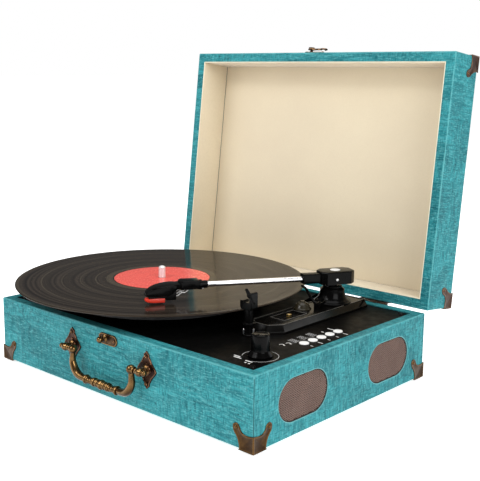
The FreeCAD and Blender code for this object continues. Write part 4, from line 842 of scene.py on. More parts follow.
plates, posts = [], []
for side in (-1, 1):
    place = Matrix.Translation((handleSpot.x + side * postReach, frontFace, handleSpot.z)) @ frontward
    plates.append(move(handlePlate(), place))
    posts.append(move(handlePost(), place))
makePiece("handlePlates", join(plates), plateBronze, "chassis", ("handle_plates",),
          hollows=True)
makePiece("handlePosts", join(posts), handleBronze, "chassis", ("handle_posts",),
          hollows=True)


def bead(radius, wide, x, steps=28):
    # a rounded ring round the bail's grip
    half = wide / 2
    shape = lathe([(0, -half), (radius - half * 0.7, -half), (radius - half * 0.15, -half * 0.6), (radius, 0),
                   (radius - half * 0.15, half * 0.6), (radius - half * 0.7, half), (0, half)], steps)
    return move(shape, facing((x, 0, 0), (1, 0, 0)))


def twisted(start, end, turns, steps=30):
    # three strands wound together
    bm = bmesh.new()
    ring = bmesh.ops.create_circle(bm, cap_ends=False, segments=30, radius=1)["verts"]
    for vert in ring:
        angle = math.atan2(vert.co.y, vert.co.x)
        size = 2.55 + 0.75 * abs(math.cos(1.5 * angle))
        vert.co = (start, size * math.cos(angle), size * math.sin(angle))
    bmesh.ops.spin(bm, geom=list(bm.verts) + list(bm.edges), cent=(0, 0, 0), axis=(1, 0, 0),
                   dvec=((end - start) / steps, 0, 0), angle=turns * 2 * math.pi, steps=steps)
    bmesh.ops.holes_fill(bm, edges=bm.edges, sides=0)
    bmesh.ops.recalc_face_normals(bm, faces=bm.faces)
    return bm


def bailShape():
    rod = handleSizes["rod"]
    drop = bailLow - handleSpot.z
    shapes = []
    for side in (-1, 1):
        line = [(legReach, 0), (legReach + 0.2, -4), (legReach + 1.1, -9), (legReach + 0.9, drop + 11),
                (legReach - 3.0, drop + 4.0), (legReach - 8.5, drop + 0.4), (legReach - 15, drop - 0.1),
                (21, drop)]
        spots = [(side * x, 0, z) for x, z in line]
        shapes.append(sweep(spots, rod, [0.78, 0.8, 0.92, 1.12, 1.25, 1.2, 1.02, 0.9], sides=6, fine=5))
        shapes.append(ball(4.3, side * legReach, 0, 0, 28))
        shapes.append(bead(3.4, 1.3, side * (legReach + 3.9)))
        shapes.append(bead(3.0, 2.0, side * (postReach - 4.3)))
        pinEnd = postReach - legReach + 4
        pin = lathe([(0, -0.5), (1.55, -0.5), (1.55, pinEnd), (0, pinEnd)], 16)
        shapes.append(move(pin, facing((side * legReach, 0, 0), (side, 0, 0))))
        shapes.append(ball(2.7, side * (postReach + 5.4), 0, 0, 24))
        shapes.append(bead(2.3, 1.0, side * (postReach + 3.4)))
        for x, radius, wide in ((22, 4.5, 1.9), (19.9, 3.7, 1.2), (11.6, 3.9, 1.3), (9.6, 4.3, 1.6),
                                (7.2, 3.6, 1.6), (5.0, 4.0, 1.5)):
            shapes.append(shift(bead(radius, wide, side * x), z=drop))
        shapes.append(shift(twisted(side * 11.8, side * 19.8, handleSizes["twist"] / 2 * side), z=drop))
    core = lathe([(0, -23), (2.5, -23), (2.5, 23), (0, 23)], 20)
    shapes.append(move(core, facing((0, 0, drop), (1, 0, 0))))
    shapes.append(shift(bead(4.8, 3.4, 0), z=drop))
    shapes.append(shift(bead(3.7, 1.4, 2.7), z=drop))
    shapes.append(shift(bead(3.7, 1.4, -2.7), z=drop))
    return shift(join(shapes), *handleSpot)


makePiece("carryBail", bailShape(), handleBronze, "handle", ("handle_bail",), hollows=True)
print("handle")

# catch on the case, latch and hook on the lid
catchSizes = {"long": 26.0, "tall": 10.5, "thick": 1.2, "knobFromMiddle": -5.0, "hook": 17.0}


def roundPlate(long, tall, thick):
    plate, top = raised(stadium(long, tall, 16), thick - 0.35)
    inset(plate, top, 0.3, 0.35)
    inset(plate, top, 0.8)
    inset(plate, top, 0.3, -0.35)
    return plate


def catchShape():
    knob = lathe([(0, 0.6), (3.9, 0.6), (4.0, 1.2), (3.1, 1.7), (2.0, 2.4), (1.75, 3.2), (1.9, 4.0),
                  (2.7, 4.8), (3.1, 6.2), (2.7, 7.6), (1.6, 8.5), (0, 8.9)], 32)
    return join([roundPlate(catchSizes["long"], catchSizes["tall"], catchSizes["thick"]),
                 shift(knob, catchSizes["knobFromMiddle"])])


catchLow, catchHigh = span("catch_plate")
catchMiddle = (handleSpot.x, frontFace, (catchLow.z + catchHigh.z) / 2)
makePiece("catchPlate", move(catchShape(), Matrix.Translation(catchMiddle) @ frontward), handleBronze,
          "chassis", ("catch_plate",), hollows=True)

crown = lathe([(0, 0.6), (3.9, 0.6), (4.0, 1.1), (2.6, 1.6), (1.45, 2.3), (1.45, 5.3), (2.4, 5.5), (3.5, 5.9),
               (3.3, 6.4), (1.6, 6.65), (0, 6.7)], 32)
latchPlace = lidTurn @ Matrix.Translation((handleSpot.x, frontFace, latchSpot.z)) @ frontward
latchBase = join([roundPlate(catchSizes["long"], catchSizes["tall"], catchSizes["thick"]),
                  shift(crown, catchSizes["knobFromMiddle"])])
makePiece("latchPlate", move(latchBase, latchPlace), fittingBronze, "lid", ("latch_plate",),
          hollows=True)


def hookShape():
    # an eye, a waisted bar and a curl with a small knob at its lip
    low = catchSizes["thick"] + 2.2
    reach = catchSizes["hook"]
    eye = lathe([(1.6, low), (3.5, low), (3.9, low + 0.5), (3.9, low + 1.3), (3.5, low + 1.8),
                 (1.6, low + 1.8)], 32, loop=True)
    bar, top = raised(softened([(3.0, -1.9), (6, -1.2), (9, -1.7), (13.4, -1.3), (13.4, 1.3), (9, 1.7),
                                (6, 1.2), (3.0, 1.9)], sharp=(0, 3, 4, 7)), 1.4, low)
    inset(bar, top, 0.35, 0.4)
    curl = sweep([(reach + 3.2 * math.cos(math.radians(a)), 3.2 * math.sin(math.radians(a)), low + 0.9)
                  for a in range(180, 451, 18)], 0.95, sides=4)
    tip = ball(1.25, reach - 0.2, 3.1, low + 0.9, 16)
    return join([eye, bar, curl, tip])


hookPlace = latchPlace @ Matrix.Translation((catchSizes["knobFromMiddle"], 0, 0))
makePiece("latchHook", move(hookShape(), hookPlace), fittingBronze, "latch",
          ("latch_hook",), hollows=True)
print("catch and latch")

# speaker grilles: a woven mesh over a dark cloth, with a thin edge, and a rim round each opening whose
# lighter colour is a painted highlight
grilleSizes = {"pitch": 1.55, "wire": 0.40, "wave": 0.22, "slant": 38}


def wovenMesh(long, tall):
    # wires of two slants that pass over and under each other, ending at the stadium's edge
    pitch, half, flat = grilleSizes["pitch"], tall / 2, (long - tall) / 2
    lines = []

    def inside(x, y):
        return math.hypot(max(abs(x) - flat, 0), y) < half

    for way in (1, -1):
        slant = math.radians(grilleSizes["slant"]) * way
        along = Vector((math.cos(slant), math.sin(slant)))
        across = Vector((-along.y, along.x))
        step = pitch / math.sin(2 * abs(slant))
        for n in range(-int(long / pitch / 2) - 2, int(long / pitch / 2) + 3):
            run = []
            for k in range(-60, 61):
                spot = along * (k * step) + across * (n * pitch)
                if inside(*spot):
                    height = grilleSizes["wave"] * (1 if (k + n) % 2 else -1) * way
                    run.append((spot.x, spot.y, height))
            if len(run) > 1:
                lines.append(run)
    return sweepLines(lines, grilleSizes["wire"], sides=0)


def edgeLine(long, tall, radius, sides=2):
    line = [(x, y, 0) for x, y in stadium(long, tall, 18)]
    return sweep(line, radius, sides=sides, smooth=False, loop=True)


meshes, cloths, darkLines, rimHighlightLines = [], [], [], []
for low, high in looseBoxes("speaker_grilles"):
    middle = (low + high) / 2
    long, tall = high.y - low.y, high.z - low.z
    face = Matrix.Translation((high.x, middle.y, middle.z)) @ sideward
    meshes.append(move(wovenMesh(long - 0.6, tall - 0.6), face @ Matrix.Translation((0, 0, -0.35))))
    cloth, top = raised(stadium(long, tall, 16), high.x - low.x - 0.7, low.x - high.x)
    cloths.append(move(cloth, face))
    darkLines.append(move(edgeLine(long - 0.2, tall - 0.2, 0.5), face @ Matrix.Translation((0, 0, -0.1))))
    # the rim round the opening, lighter than the leather as a painted highlight
    rimHighlightLines.append(move(edgeLine(long + 1.3, tall + 1.3, 0.5),
                          face @ Matrix.Translation((0, 0, caseHigh.x - high.x - 0.32))))
makePiece("grilleCloth", join(cloths), grilleDark, "chassis", ("speaker_grilles",))
makePiece("grilleMesh", join(meshes), grilleBrown, "chassis")
makePiece("grilleEdge", join(darkLines), grilleDark, "chassis")
makePiece("openingRimHighlight", join(rimHighlightLines), rimHighlightTeal, "chassis")
print("speakers")

# record: an edge bead, tracks with gaps, a run-out ring and the label's seat
recordSizes = {"edge": 150.4, "thick": 1.6, "label": 50.0, "hole": 3.62, "dip": 0.07,
               "gaps": (124.0, 103.5, 84.5, 69.0)}


def recordShape():
    top = recordSizes["thick"]
    edge = recordSizes["edge"]
    groove = top - recordSizes["dip"]
    hole, label = recordSizes["hole"], recordSizes["label"]
    profile = [(hole, 0), (edge - 1.2, 0), (edge - 0.3, 0.35), (edge, 0.8), (edge - 0.3, 1.3),
               (edge - 1.2, top), (edge - 1.6, top), (146.9, top), (146.4, top),
               (145.6, groove), (145.1, groove)]
    for gap in recordSizes["gaps"]:
        profile += [(gap + 1.4, groove), (gap + 1.0, groove), (gap + 0.7, groove - 0.03),
                    (gap + 0.4, groove - 0.03), (gap - 0.4, groove - 0.03), (gap - 0.7, groove - 0.03),
                    (gap - 1.0, groove), (gap - 1.4, groove)]
    profile += [(59.5, groove), (59.0, groove), (58.2, top - 0.01), (57.6, top - 0.01),
                (label + 1.5, top - 0.01), (label + 1.0, top - 0.01), (label + 0.1, top - 0.12),
                (hole, top - 0.12)]
    return lathe(profile, 180, loop=True)


recordPlace = Matrix.Translation((spindleSpot.x, spindleSpot.y, recordTop - recordSizes["thick"]))
makePiece("longPlayingRecord", move(recordShape(), recordPlace), blackVinyl, "platter",
          ("vinyl_record",), sharp=12)
labelTop = span("record_label")[1].z
hole = recordSizes["hole"]
labelDisc = lathe([(hole, -0.12), (49.9, -0.12), (49.9, -0.06), (49.5, 0), (36.4, 0), (36.0, -0.03),
                   (35.6, 0), (17.2, 0), (16.6, -0.05), (16.0, 0), (hole, 0)], 128, loop=True)
makePiece("recordLabel", shift(labelDisc, spindleSpot.x, spindleSpot.y, labelTop), coralLabel, "platter",
          ("record_label",), sharp=20)

# lining: a padded back, four wall strips and a pale lip round the rim
liningSizes = {"thick": 1.1, "wall": 10.0, "gap": 0.05, "lip": 0.55}


def liningShape():
    thick, gap = liningSizes["thick"], liningSizes["gap"]
    halfX, halfY = caseHigh.x - liningSizes["wall"], caseHigh.y - liningSizes["wall"]
    low, high = lidLow.z + 0.2, closedSpan("lid_lining")[1].z
    pad, top = raised([(-halfX + 1, -halfY + 1), (halfX - 1, -halfY + 1), (halfX - 1, halfY - 1),
                       (-halfX + 1, halfY - 1)], 0.65)
    inset(pad, top, 0.7, 0.15)
    inset(pad, top, 1.6, 0.25)
    shapes = [move(pad, Matrix.Translation((0, 0, high)) @ Matrix.Diagonal((1, 1, -1, 1)))]
    for axis, half, other in ((0, halfX, halfY), (1, halfY, halfX)):
        for side in (-1, 1):
            reach = other - (thick + gap if axis == 0 else gap)
            strip, top = raised([(-reach, low), (reach, low), (reach, high - 1.2), (-reach, high - 1.2)],
                                thick - 0.15)
            inset(strip, top, 0.3, 0.15)
            turn = Matrix(((0, 0, -side, 0), (side, 0, 0, 0), (0, 1, 0, 0), (0, 0, 0, 1))) if axis == 0 else (
                Matrix(((-side, 0, 0, 0), (0, 0, -side, 0), (0, 1, 0, 0), (0, 0, 0, 1))))
            offset = (side * half, 0, 0) if axis == 0 else (0, side * half, 0)
            shapes.append(move(strip, Matrix.Translation(offset) @ turn))
    return join(shapes)


makePiece("lidLining", move(liningShape(), lidTurn), creamLining, "lid", ("lid_lining",))
inner = [(x * (caseHigh.x - liningSizes["wall"] - 0.5), y * (caseHigh.y - liningSizes["wall"] - 0.5),
          lidLow.z + 0.45) for x, y in ((1, 1), (-1, 1), (-1, -1), (1, -1))]
lip = sweep(inner, liningSizes["lip"], sides=3, smooth=False, loop=True)
makePiece("liningLip", move(lip, lidTurn), lipCream, "lid")
print("lining")

# tonearm base: chamfered plinth with a skirt, a bead and a framed recess
plinthSizes = {"skirt": 2.2, "slope": 2.7, "bead": 0.9, "recessWide": 16.0, "recessLong": 32.0, "deep": 1.3,
               "frame": 1.1, "recessSpot": (99.5, 7.0), "domeSpot": (92.6, 36.0), "line": 0.22, "sunk": 0.4}
plinthLow, plinthHigh = span("tonearm_base")
# outlines along which the painted highlight lines run
plinthLines = []


def plinthShape():
    left, right, front, back = plinthLow.x, plinthHigh.x, plinthLow.y, plinthHigh.y
    outline = [(left + 9, front), (right - 11, front), (right, front + 13), (right, back - 3),
               (right - 3, back), (left + 3, back), (left, back - 3), (left, front + 10)]
    outline = softened(outline, sharp=(0, 1, 2, 7), rounds=3)
    tall = turretFoot - deckTop
    body, top = raised(outline, plinthSizes["skirt"])
    inset(body, top, 0.5, 0.5)
    inset(body, top, plinthSizes["slope"], tall - plinthSizes["skirt"] - 0.9)
    inset(body, top, 0.35, plinthSizes["sunk"])
    plinthLines.append([v.co.copy() for v in top.verts])
    inset(body, top, plinthSizes["bead"])
    inset(body, top, 0.35, -plinthSizes["sunk"])
    x, y = plinthSizes["recessSpot"]
    wide, long = plinthSizes["recessWide"] / 2 + 0.9, plinthSizes["recessLong"] / 2 + 0.9
    for spot, normal in (((x - wide, 0, 0), (1, 0, 0)), ((x + wide, 0, 0), (1, 0, 0)),
                         ((0, y - long, 0), (0, 1, 0)), ((0, y + long, 0), (0, 1, 0))):
        top = [f for f in body.faces if f.normal.z > 0.99
               and abs(f.calc_center_median().z - tall + plinthSizes["sunk"]) < 0.05]
        geom = top + [e for f in top for e in f.edges] + [v for f in top for v in f.verts]
        bmesh.ops.bisect_plane(body, geom=list(set(geom)), plane_co=spot, plane_no=normal)
    hole = min((f for f in body.faces if f.normal.z > 0.99 and f.calc_center_median().z > tall - 0.6),
               key=lambda f: (f.calc_center_median() - Vector((x, y, tall))).length)
    inset(body, hole, 0.3, 0.45)
    plinthLines.append([v.co.copy() for v in hole.verts])
    inset(body, hole, plinthSizes["frame"] - 0.3)
    inset(body, hole, 0.3, -plinthSizes["deep"] - 0.25)
    return shift(body, z=deckTop)


turretFoot = span("turret_cone")[0].z
makePiece("armPlinth", plinthShape(), plinthBlack, "chassis", ("tonearm_base",), sharp=25)
# thin pale lines along the bead and the recess frame: painted highlights on those edges
plinthHighlightLines = join([sweep(line, plinthSizes["line"], sides=1, smooth=False, loop=True)
                    for line in plinthLines])
makePiece("plinthHighlightLines", shift(plinthHighlightLines, z=deckTop), paintedEdgeHighlight, "chassis")

turretSizes = {"disc": 19.0, "top": 9.8, "bore": 4.1}
turretTop = span("turret_cone")[1].z - turretFoot
turret = lathe([(turretSizes["bore"], 0), (18.7, 0), (turretSizes["disc"], 0.4), (turretSizes["disc"], 1.1),
                (18.6, 1.6), (17.7, 1.9), (17.3, 2.6), (15.9, 3.4), (14.6, 4.8), (13.5, 6.8), (12.7, 9.2),
                (12.2, 11.8), (12.1, 12.6), (12.4, 13.0), (12.3, 13.7), (11.6, 14.2),
                (turretSizes["top"], turretTop), (turretSizes["bore"], turretTop)], 64, loop=True)
makePiece("armTurret", shift(turret, armPivot.x, armPivot.y, turretFoot), mouldedBlack, "chassis",
          ("turret_cone",))

yokeFoot = span("arm_yoke")[0].z - armPivot.z
plateZ = turretFoot + turretTop - armPivot.z + 0.3
yoke = lathe([(0, yokeFoot), (3.95, yokeFoot), (3.95, plateZ), (9.3, plateZ),
              (9.8, plateZ + 0.3), (9.8, plateZ + 0.9), (9.3, plateZ + 1.2), (4.6, plateZ + 1.2), (4.6, 3.0),
              (4.2, 3.4), (0, 3.4)], 48)
pin = move(lathe([(0, -9.9), (1.5, -9.9), (1.5, 9.9), (0, 9.9)], 20), facing((0, 0, 0), (0, 1, 0)))
makePiece("armYoke", move(join([yoke, pin]), armLevel), satinBlack, "arm_turret",
          ("arm_yoke",))
studs = [shift(lathe([(0, 0), (1.7, 0), (1.9, tall * 0.5), (1.7, tall * 0.9), (0, tall)], 20), x, y,
               plateZ + 1.15)
         for x, tall in ((6.9, 1.15), (-6.4, 0.4)) for y in (2.6, -2.6)]
makePiece("yokeStuds", move(join(studs), armLevel), polishedChrome, "arm_turret")

# lift dome, ears and the small things on the plinth
plinthTop = turretFoot - plinthSizes["sunk"]
domeShape = lathe([(0, -0.3), (8.8, -0.3), (9.0, 0.6), (8.5, 1.2), (7.6, 2.0), (6.9, 3.6), (5.6, 5.4),
                   (3.6, 6.5), (2.3, 6.9), (2.1, 7.9), (0, 8.1)], 48)
# the dome's olive tint is a painted reflection of the cream lining
makePiece("liftDome", shift(domeShape, *plinthSizes["domeSpot"], plinthTop), domePaintedReflection, "chassis")
cueSpot = jointSpot("cue_lift")
ears = []
for start in (1.7, -3.7):
    outline = [(-3, -4.2), (3, -4.2), (3, 0.6)] + arc(0, 0, 2.6, 15, 165, 6) + [(-3, 0.6)]
    ear, top = raised(outline, 2.0, start)
    ears.append(move(ear, Matrix.Translation(cueSpot) @ frontward))
makePiece("cueEars", join(ears), mouldedBlack, "chassis")
slot, top = raised([(-1.7, -9.5), (1.7, -9.5), (1.7, 9.5), (-1.7, 9.5)], 0.06)
inset(slot, top, 0.3)
slot = shift(slot, *plinthSizes["recessSpot"], plinthTop - plinthSizes["deep"] + 0.2)
makePiece("leverSlot", slot, satinBlack, "chassis")
leverLow, leverHigh = span("speed_lever")
grip, top = raised(softened([(-2.6, -2.3), (2.6, -2.3), (2.6, 2.3), (-2.6, 2.3)], rounds=2),
                   leverHigh.z - turretFoot + 0.5, turretFoot - 0.9)
inset(grip, top, 0.5, 0.3)
foot = block((-4.8, -4.5, leverLow.z), (4.8, 4.5, leverLow.z + 1.5))
stem = block((-1.4, -2.4, leverLow.z + 1.2), (1.4, 2.4, turretFoot - 0.6))
lever = shift(join([grip, foot, stem]), *plinthSizes["recessSpot"])
makePiece("speedLever", lever, turnedBrass, "speed", ("speed_lever",))

# cue finger: a curved bar on a boss, with a short tail
finger = sweep([(0, 0, 0.4), (-4, 0, 1.6), (-9, 0, 4.6), (-12.6, 0, 9.4), (-15.8, 0, 14.0), (-18.5, 0, 15.1),
                (-21.6, 0, 15.6)], 1.3, [1.1, 1.05, 1, 1, 1.0, 1.0, 0.8], sides=5)
tail = sweep([(0, 0, 0.3), (3.4, 0, 1.2), (6.0, 0, 3.4), (8.4, 0, 5.2)], 1.3, [1.1, 1, 1, 0.85], sides=5)
boss = move(lathe([(0, -1.4), (2.6, -1.4), (2.9, -1.1), (2.9, 1.1), (2.6, 1.4), (0, 1.4)], 28),
            facing((0, 0, 0), (0, 1, 0)))
pin = move(lathe([(0, -3.2), (1.15, -3.2), (1.15, 3.2), (0, 3.2)], 16), facing((0, 0, 0), (0, 1, 0)))
makePiece("cueFinger", shift(join([finger, tail, boss, pin]), *cueSpot), mouldedBlack, "cue",
          ("cue_lever",))
print("tonearm base")

# tonearm
armSizes = {"half": 11.0, "low": -5.05, "high": 7.75, "tube": 2.75, "cap": 5.2, "rib": 0.08, "pitch": 1.7,
            "bore": 2.2, "tubeFrom": 19.2, "tubeTo": 136.2, "needle": 188.6}


def housingShape():
    half, low, high = armSizes["half"], armSizes["low"], armSizes["high"]
    outline = [(-21, -half + 5.5), (-15.5, -half), (10.5, -half), (15, -half + 4.5), (15, half - 4.5),
               (10.5, half), (-15.5, half), (-21, half - 5.5)]
    cap, top = raised(outline, high - low - 1.2, low)
    inset(cap, top, 0.35, 0.7)
    inset(cap, top, 0.6, 0.35)
    inset(cap, top, 1.2, 0.15)
    under = min(cap.faces, key=lambda f: f.calc_center_median().z)
    inset(cap, under, 0.5)
    for i in range(8):
        for side in (-1, 1):
            x = -14.4 + i * armSizes["pitch"]
            rib = block((x - 0.35, side * half - armSizes["rib"], low + 1.0),
                        (x + 0.35, side * half + armSizes["rib"], high - 2.2))
            cap = join([cap, rib])
    ring = move(lathe([(1.56, -11.0), (2.6, -11.0), (2.6, -11.25), (1.56, -11.25)], 20, loop=True),
                facing((0, 0, 0), (0, 1, 0)))
    socket, top = raised(roundedBox(-4.75, 4.75, -4.4, 5.4, 1.1, 4), 20.2, 13)
    inset(socket, top, 0.5, 0.4)
    socket = move(socket, Matrix.Rotation(-armRise, 4, "Y") @ sideward)
    return join([cap, ring, socket])


makePiece("armHousing", move(housingShape(), armLevel), mouldedBlack, "tonearm",
          ("arm_housing",), sharp=25)
capDisc = lathe([(0, 7.6), (armSizes["cap"], 7.6), (armSizes["cap"], 7.85), (4.8, 8.05), (0, 8.15)], 40)
sideScrew = move(nailHead(1.3, 0.7), facing((0, 11.1, -0.2), (0, 1, 0)))
farScrew = move(nailHead(1.3, 0.7), facing((0, -11.1, -0.2), (0, -1, 0)))
makePiece("housingBrightwork", move(join([shift(capDisc, -2.5), sideScrew, farScrew]), armLevel), discWhite,
          "tonearm")

tubeFrom, tubeTo = armSizes["tubeFrom"], armSizes["tubeTo"]
tube = lathe([(armSizes["bore"], tubeFrom), (armSizes["tube"], tubeFrom), (armSizes["tube"], tubeTo),
              (armSizes["bore"], tubeTo)], 40, loop=True)
makePiece("armTube", move(tube, armPlace @ facing((0, 0, 0), (1, 0, 0))), tubeChrome, "tonearm",
          ("arm_tube",))


def section(x, half, low, high, radius=1.0, steps=4):
    return [(x, y, z) for y, z in roundedBox(-half, half, low, high, radius, steps)]


def headShape():
    collar = lathe([(2.77, 131.5), (3.4, 131.5), (3.7, 131.9), (3.7, 136.9), (4.1, 137.2), (4.8, 137.4),
                    (4.8, 139.6), (4.4, 140.1), (2.77, 140.1)], 32, loop=True)
    collar = move(collar, facing((0, 0, 0), (1, 0, 0)))
    body = loft([section(140.0, 5.4, -2.6, 4.6), section(140.7, 6.2, -3.2, 5.2),
                 section(156.4, 6.4, -3.2, 5.4), section(158.2, 6.2, -3.0, 4.8),
                 section(159.0, 5.8, -2.8, 3.6)])
    nose = loft([section(154.0, 5.4, -2.4, 2.4), section(158.4, 6.4, -2.0, 2.9),
                 section(162.0, 7.4, -2.2, 2.6), section(164.5, 8.2, -3.4, 2.6, 0.9),
                 section(167.0, 8.5, -6.2, 2.6, 0.9),
                 section(171.0, 8.5, -7.8, 2.3, 0.9), section(176.0, 8.3, -8.2, 1.7, 0.9),
                 section(181.5, 7.6, -8.2, 0.6, 0.9), section(186.0, 6.6, -8.2, -1.0, 0.9),
                 section(189.4, 5.5, -8.2, -3.2, 0.8), section(191.2, 4.6, -8.0, -5.2, 0.6),
                 section(191.8, 4.0, -7.8, -6.4, 0.3)])
    return join([collar, body, nose])


makePiece("headshellCover", move(headShape(), armPlace), mouldedBlack, "tonearm",
          ("headshell",), sharp=30)
cartridge = loft([section(163.0, 5.4, -11.8, -2.4, 0.5, 2), section(163.5, 6.0, -12.4, -2.0, 0.5, 2),
                  section(172.4, 6.0, -12.4, -3.0, 0.5, 2), section(172.9, 5.5, -12.0, -3.4, 0.5, 2)])
carrier = block((172.0, -5.0, -10.25), (189.0, 5.0, -7.6))
makePiece("cartridgeBody", move(join([cartridge, carrier]), armPlace), satinBlack, "tonearm",
          ("cartridge",), sharp=30)
guard = loft([section(173.5, 4.1, -14.4, -10.6, 0.5, 3), section(174.0, 4.5, -14.8, -10.4, 0.8, 3),
              section(184.0, 4.5, -14.8, -10.4, 1.0, 3), section(188.0, 4.2, -14.6, -10.4, 1.2, 3),
              section(190.4, 3.4, -14.0, -10.5, 1.2, 3), section(191.6, 2.2, -13.2, -11.0, 0.8, 3)])
makePiece("stylusGuard", move(guard, armPlace), redPlastic, "tonearm", ("stylus",), sharp=30)
tip = armPlace.inverted() @ Vector((armPivot.x + 188.8 * math.cos(armHeading),
                                    armPivot.y + 188.8 * math.sin(armHeading), span("stylus")[0].z + 0.02))
needle = lathe([(0, -0.02), (0.12, 0), (0.5, 0.9), (0.6, 1.6), (0, 1.6)], 16)
needle = move(needle, armPlace @ Matrix.Translation((armSizes["needle"], 0, tip.z)))
makePiece("needle", needle, drawnSteel, "tonearm")
leads = []
for i, y in enumerate((4.4, 2.0, -2.0, -4.4)):
    sway = 0.9 if i % 2 else -0.4
    leads.append(sweep([(150.5, y * 0.8, -2.8), (152.4, y, -5.2 - sway), (155.0, y * 1.15, -6.6 - sway),
                        (157.2, y * 1.2, -5.2), (159.6, y * 1.1, -6.4 + sway), (161.6, y, -8.4 + sway),
                        (163.8, y, -8.6 + sway)], 0.36, sides=2, fine=5))
headScrew = move(nailHead(1.5, 0.9), facing((136, 0, -3.6), (0, 0, -1)))
makePiece("cartridgeLeads", move(join(leads + [headScrew]), armPlace), leadWhite, "tonearm")
print("tonearm")

# arm rest and its clip
restLow, restHigh = span("arm_rest")
restMiddle = Vector(((restLow.x + restHigh.x) / 2, (restLow.y + restHigh.y) / 2, 0))
clipSpot = jointSpot("arm_clip_turn")


def restShape():
    x, y = restMiddle.x, restMiddle.y
    neck = 90.8 - deckTop
    post = lathe([(0, 0), (6.2, 0), (6.2, 1.0), (5.6, 1.6), (4.3, 1.9), (4.1, 3.0), (4.1, 9.2), (5.7, 9.5),
                  (6.2, 10.0), (6.2, 11.7), (5.7, 12.1), (4.2, 12.3), (4.2, neck + 1), (0, neck + 1)], 40)
    shape = [(-5.4, 90.8), (5.4, 90.8), (7, 93.2), (7, 105.9), (6.2, 107.1), (5.0, 107.3), (4.1, 106.6),
             (4.0, 98.8), (3.0, 97.7), (-3.0, 97.7), (-4.0, 98.5), (-4.2, 99.2), (-6.6, 99.2), (-7, 98.6),
             (-7, 93.2)]
    fork, top = raised(shape, 8.0, -4.0)
    inset(fork, top, 0.4, 0.5)
    low = min(fork.faces, key=lambda f: f.calc_center_median().z)
    inset(fork, low, 0.4, 0.5)
    fork = move(fork, frontward)
    return join([shift(post, x, y, deckTop), shift(fork, x, y)])


makePiece("armRest", restShape(), mouldedBlack, "chassis", ("arm_rest",), sharp=30)
# two short steel pins stand in the foot of the rest as painted highlights, for the glints on its glossy foot
pinProfile = [(0, 1.4), (1.5, 1.4), (1.5, 5.6), (1.2, 6.0), (0, 6.1)]
restHighlightPins = [shift(lathe(pinProfile, 20), restMiddle.x + side * 2.9, restMiddle.y + side * 2.6, deckTop)
            for side in (-1, 1)]
makePiece("restHighlightPins", join(restHighlightPins), drawnSteel, "chassis")
clipLow = span("arm_clip")[0]
hook = [(1.3, 0.8), (-0.6, 3.6), (-3.2, 6.1), (-4.6, 6.0), (-5.1, 4.7), (-3.4, 2.2), (-1.4, -1.0),
        (1.0, -4.2), (4.4, -7.9), (5.8, -8.0), (6.6, -6.6), (4.0, -3.2)]
clip, top = raised(softened(hook, sharp=(), rounds=2), 1.5, -0.05)
inset(clip, top, 0.4, 0.4)
button = lathe([(0, 0.4), (1.9, 0.4), (1.9, 2.1), (1.3, 2.45), (0, 2.5)], 20)
clip = move(join([clip, button]), Matrix.Translation((clipSpot.x, clipLow.y + 2.0, clipSpot.z)) @ frontward)
makePiece("restClip", clip, mouldedBlack, "clip", ("arm_clip",), sharp=30)
print("arm rest")

# controls: the knob, five buttons and the deck's printed marks
knobSizes = {"foot": 11.0, "flutes": 36, "flute": 0.04, "ring": 15.5}
knobLow, knobHigh = span("volume_knob")
knobSpot = jointSpot("volume_turn")
knobFoot = deckTop + 0.4


def knobShape():
    tall = knobHigh.z - knobFoot
    foot = knobSizes["foot"]
    knob = lathe([(0, 0), (10.6, 0), (foot, 0.3), (foot, 1.1), (10.5, 1.7), (9.6, 2.9), (8.7, 4.0),
                  (8.1, 4.7), (8.0, 5.4), (7.95, 8.0), (7.9, 12.0), (7.85, tall - 1.4),
                  (7.6, tall - 0.6), (6.9, tall - 0.1), (6.2, tall), (5.6, tall - 0.35), (0, tall - 0.5)],
                 knobSizes["flutes"] * 4)
    for vert in knob.verts:
        if 5.2 < vert.co.z < tall - 1.2:
            angle = math.atan2(vert.co.y, vert.co.x)
            size = 1 - knobSizes["flute"] / 8 * (1 + math.cos(knobSizes["flutes"] * angle))
            vert.co.x, vert.co.y = vert.co.x * size, vert.co.y * size
    pointer, top = raised([(-0.5, -7.2), (0.5, -7.2), (0.5, -2.0), (-0.5, -2.0)], 0.5, tall - 0.45)
    stem = lathe([(0, knobLow.z - knobFoot), (2.95, knobLow.z - knobFoot), (2.95, 0.5), (0, 0.5)], 24)
    return shift(join([knob, pointer, stem]), knobSpot.x, knobSpot.y, knobFoot)


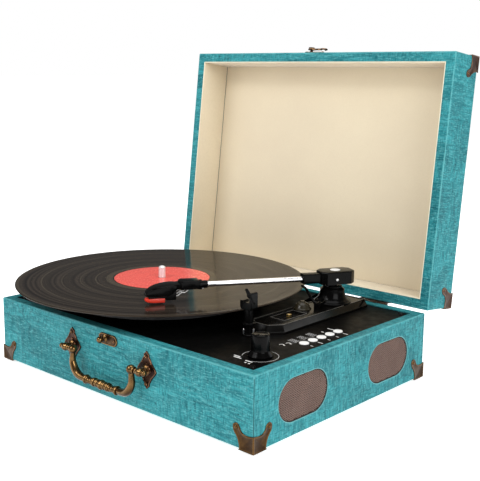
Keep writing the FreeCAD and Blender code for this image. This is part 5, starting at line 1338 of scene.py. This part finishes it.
makePiece("volumeKnob", knobShape(), mouldedBlack, "volume", ("volume_knob",), sharp=30)
buttonSpots = []
for name in ("source_button", "previous_button", "play_button", "next_button", "record_button"):
    low, high = span(name)
    x, y = (low.x + high.x) / 2, (low.y + high.y) / 2
    buttonSpots.append((x, y))
    cap = lathe([(0, 0), (5.4, 0), (5.4, 3.1), (4.4, 3.2), (4.4, high.z - low.z - 0.45),
                 (4.2, high.z - low.z - 0.2), (3.4, high.z - low.z - 0.05), (0, high.z - low.z)], 36)
    makePiece(name.replace("_button", "Button"), shift(cap, x, y, low.z), buttonWhite, name,
              (name,), sharp=40)


def flatMark(points, thick=0.05):
    mark, top = raised(points, thick, deckTop - 0.01)
    return mark


def dash(x, y, long, wide, turn=0.0):
    c, s = math.cos(math.radians(turn)), math.sin(math.radians(turn))
    corners = [(-long / 2, -wide / 2), (long / 2, -wide / 2), (long / 2, wide / 2), (-long / 2, wide / 2)]
    return flatMark([(x + u * c - v * s, y + u * s + v * c) for u, v in corners])


def arcBand(x, y, radius, wide, start, end, steps=60):
    outer = arc(x, y, radius + wide / 2, start, end, steps)
    return flatMark(outer + arc(x, y, radius - wide / 2, end, start, steps))


whites = [arcBand(knobSpot.x, knobSpot.y, knobSizes["ring"], 0.35, -75, 215),
          *(dash(knobSpot.x + x, knobSpot.y + y, long, wide)
            for x, y, long, wide in ((-14.5, -13.0, 7.0, 1.4), (-11.5, -15.8, 8.0, 1.5),
                                     (2.0, -16.8, 7.5, 1.6), (2.0, -21.0, 2.0, 1.4),
                                     (6.0, -21.0, 2.0, 1.4)))]
for x, y, radius in ((137.0, -48.6, 2.0), (138.6, -41.6, 2.0)):
    whites.append(arcBand(x, y, radius, 0.8, 20, 200, 12))
    whites.append(dash(x + 2.6, y + 0.6, 1.6, 1.2))
greys = []
for n, (x, y) in enumerate(buttonSpots):
    whites.append(dash(x + 9.6, y - 1.5, 5.5 if n in (1, 4) else 3.0, 1.0))
    if n < 3:
        for row in range(3):
            for part in range(4):
                greys.append(dash(x - 15.2 + part * 2.5 + random.uniform(-0.2, 0.2), y - 2.6 + row * 2.3,
                                  random.uniform(1.4, 2.1), 1.1))
        greys.append(dash(x - 7.2, y - 5.4, 5.5, 0.35, 62))
    else:
        whites.append(dash(x - 9.0, y + 1.2, 3.2 if n == 3 else 8.0, 1.1))
makePiece("deckMarksWhite", join(whites), paintWhite, "chassis")
makePiece("deckMarksGrey", join(greys), paintGrey, "chassis")
print("controls")
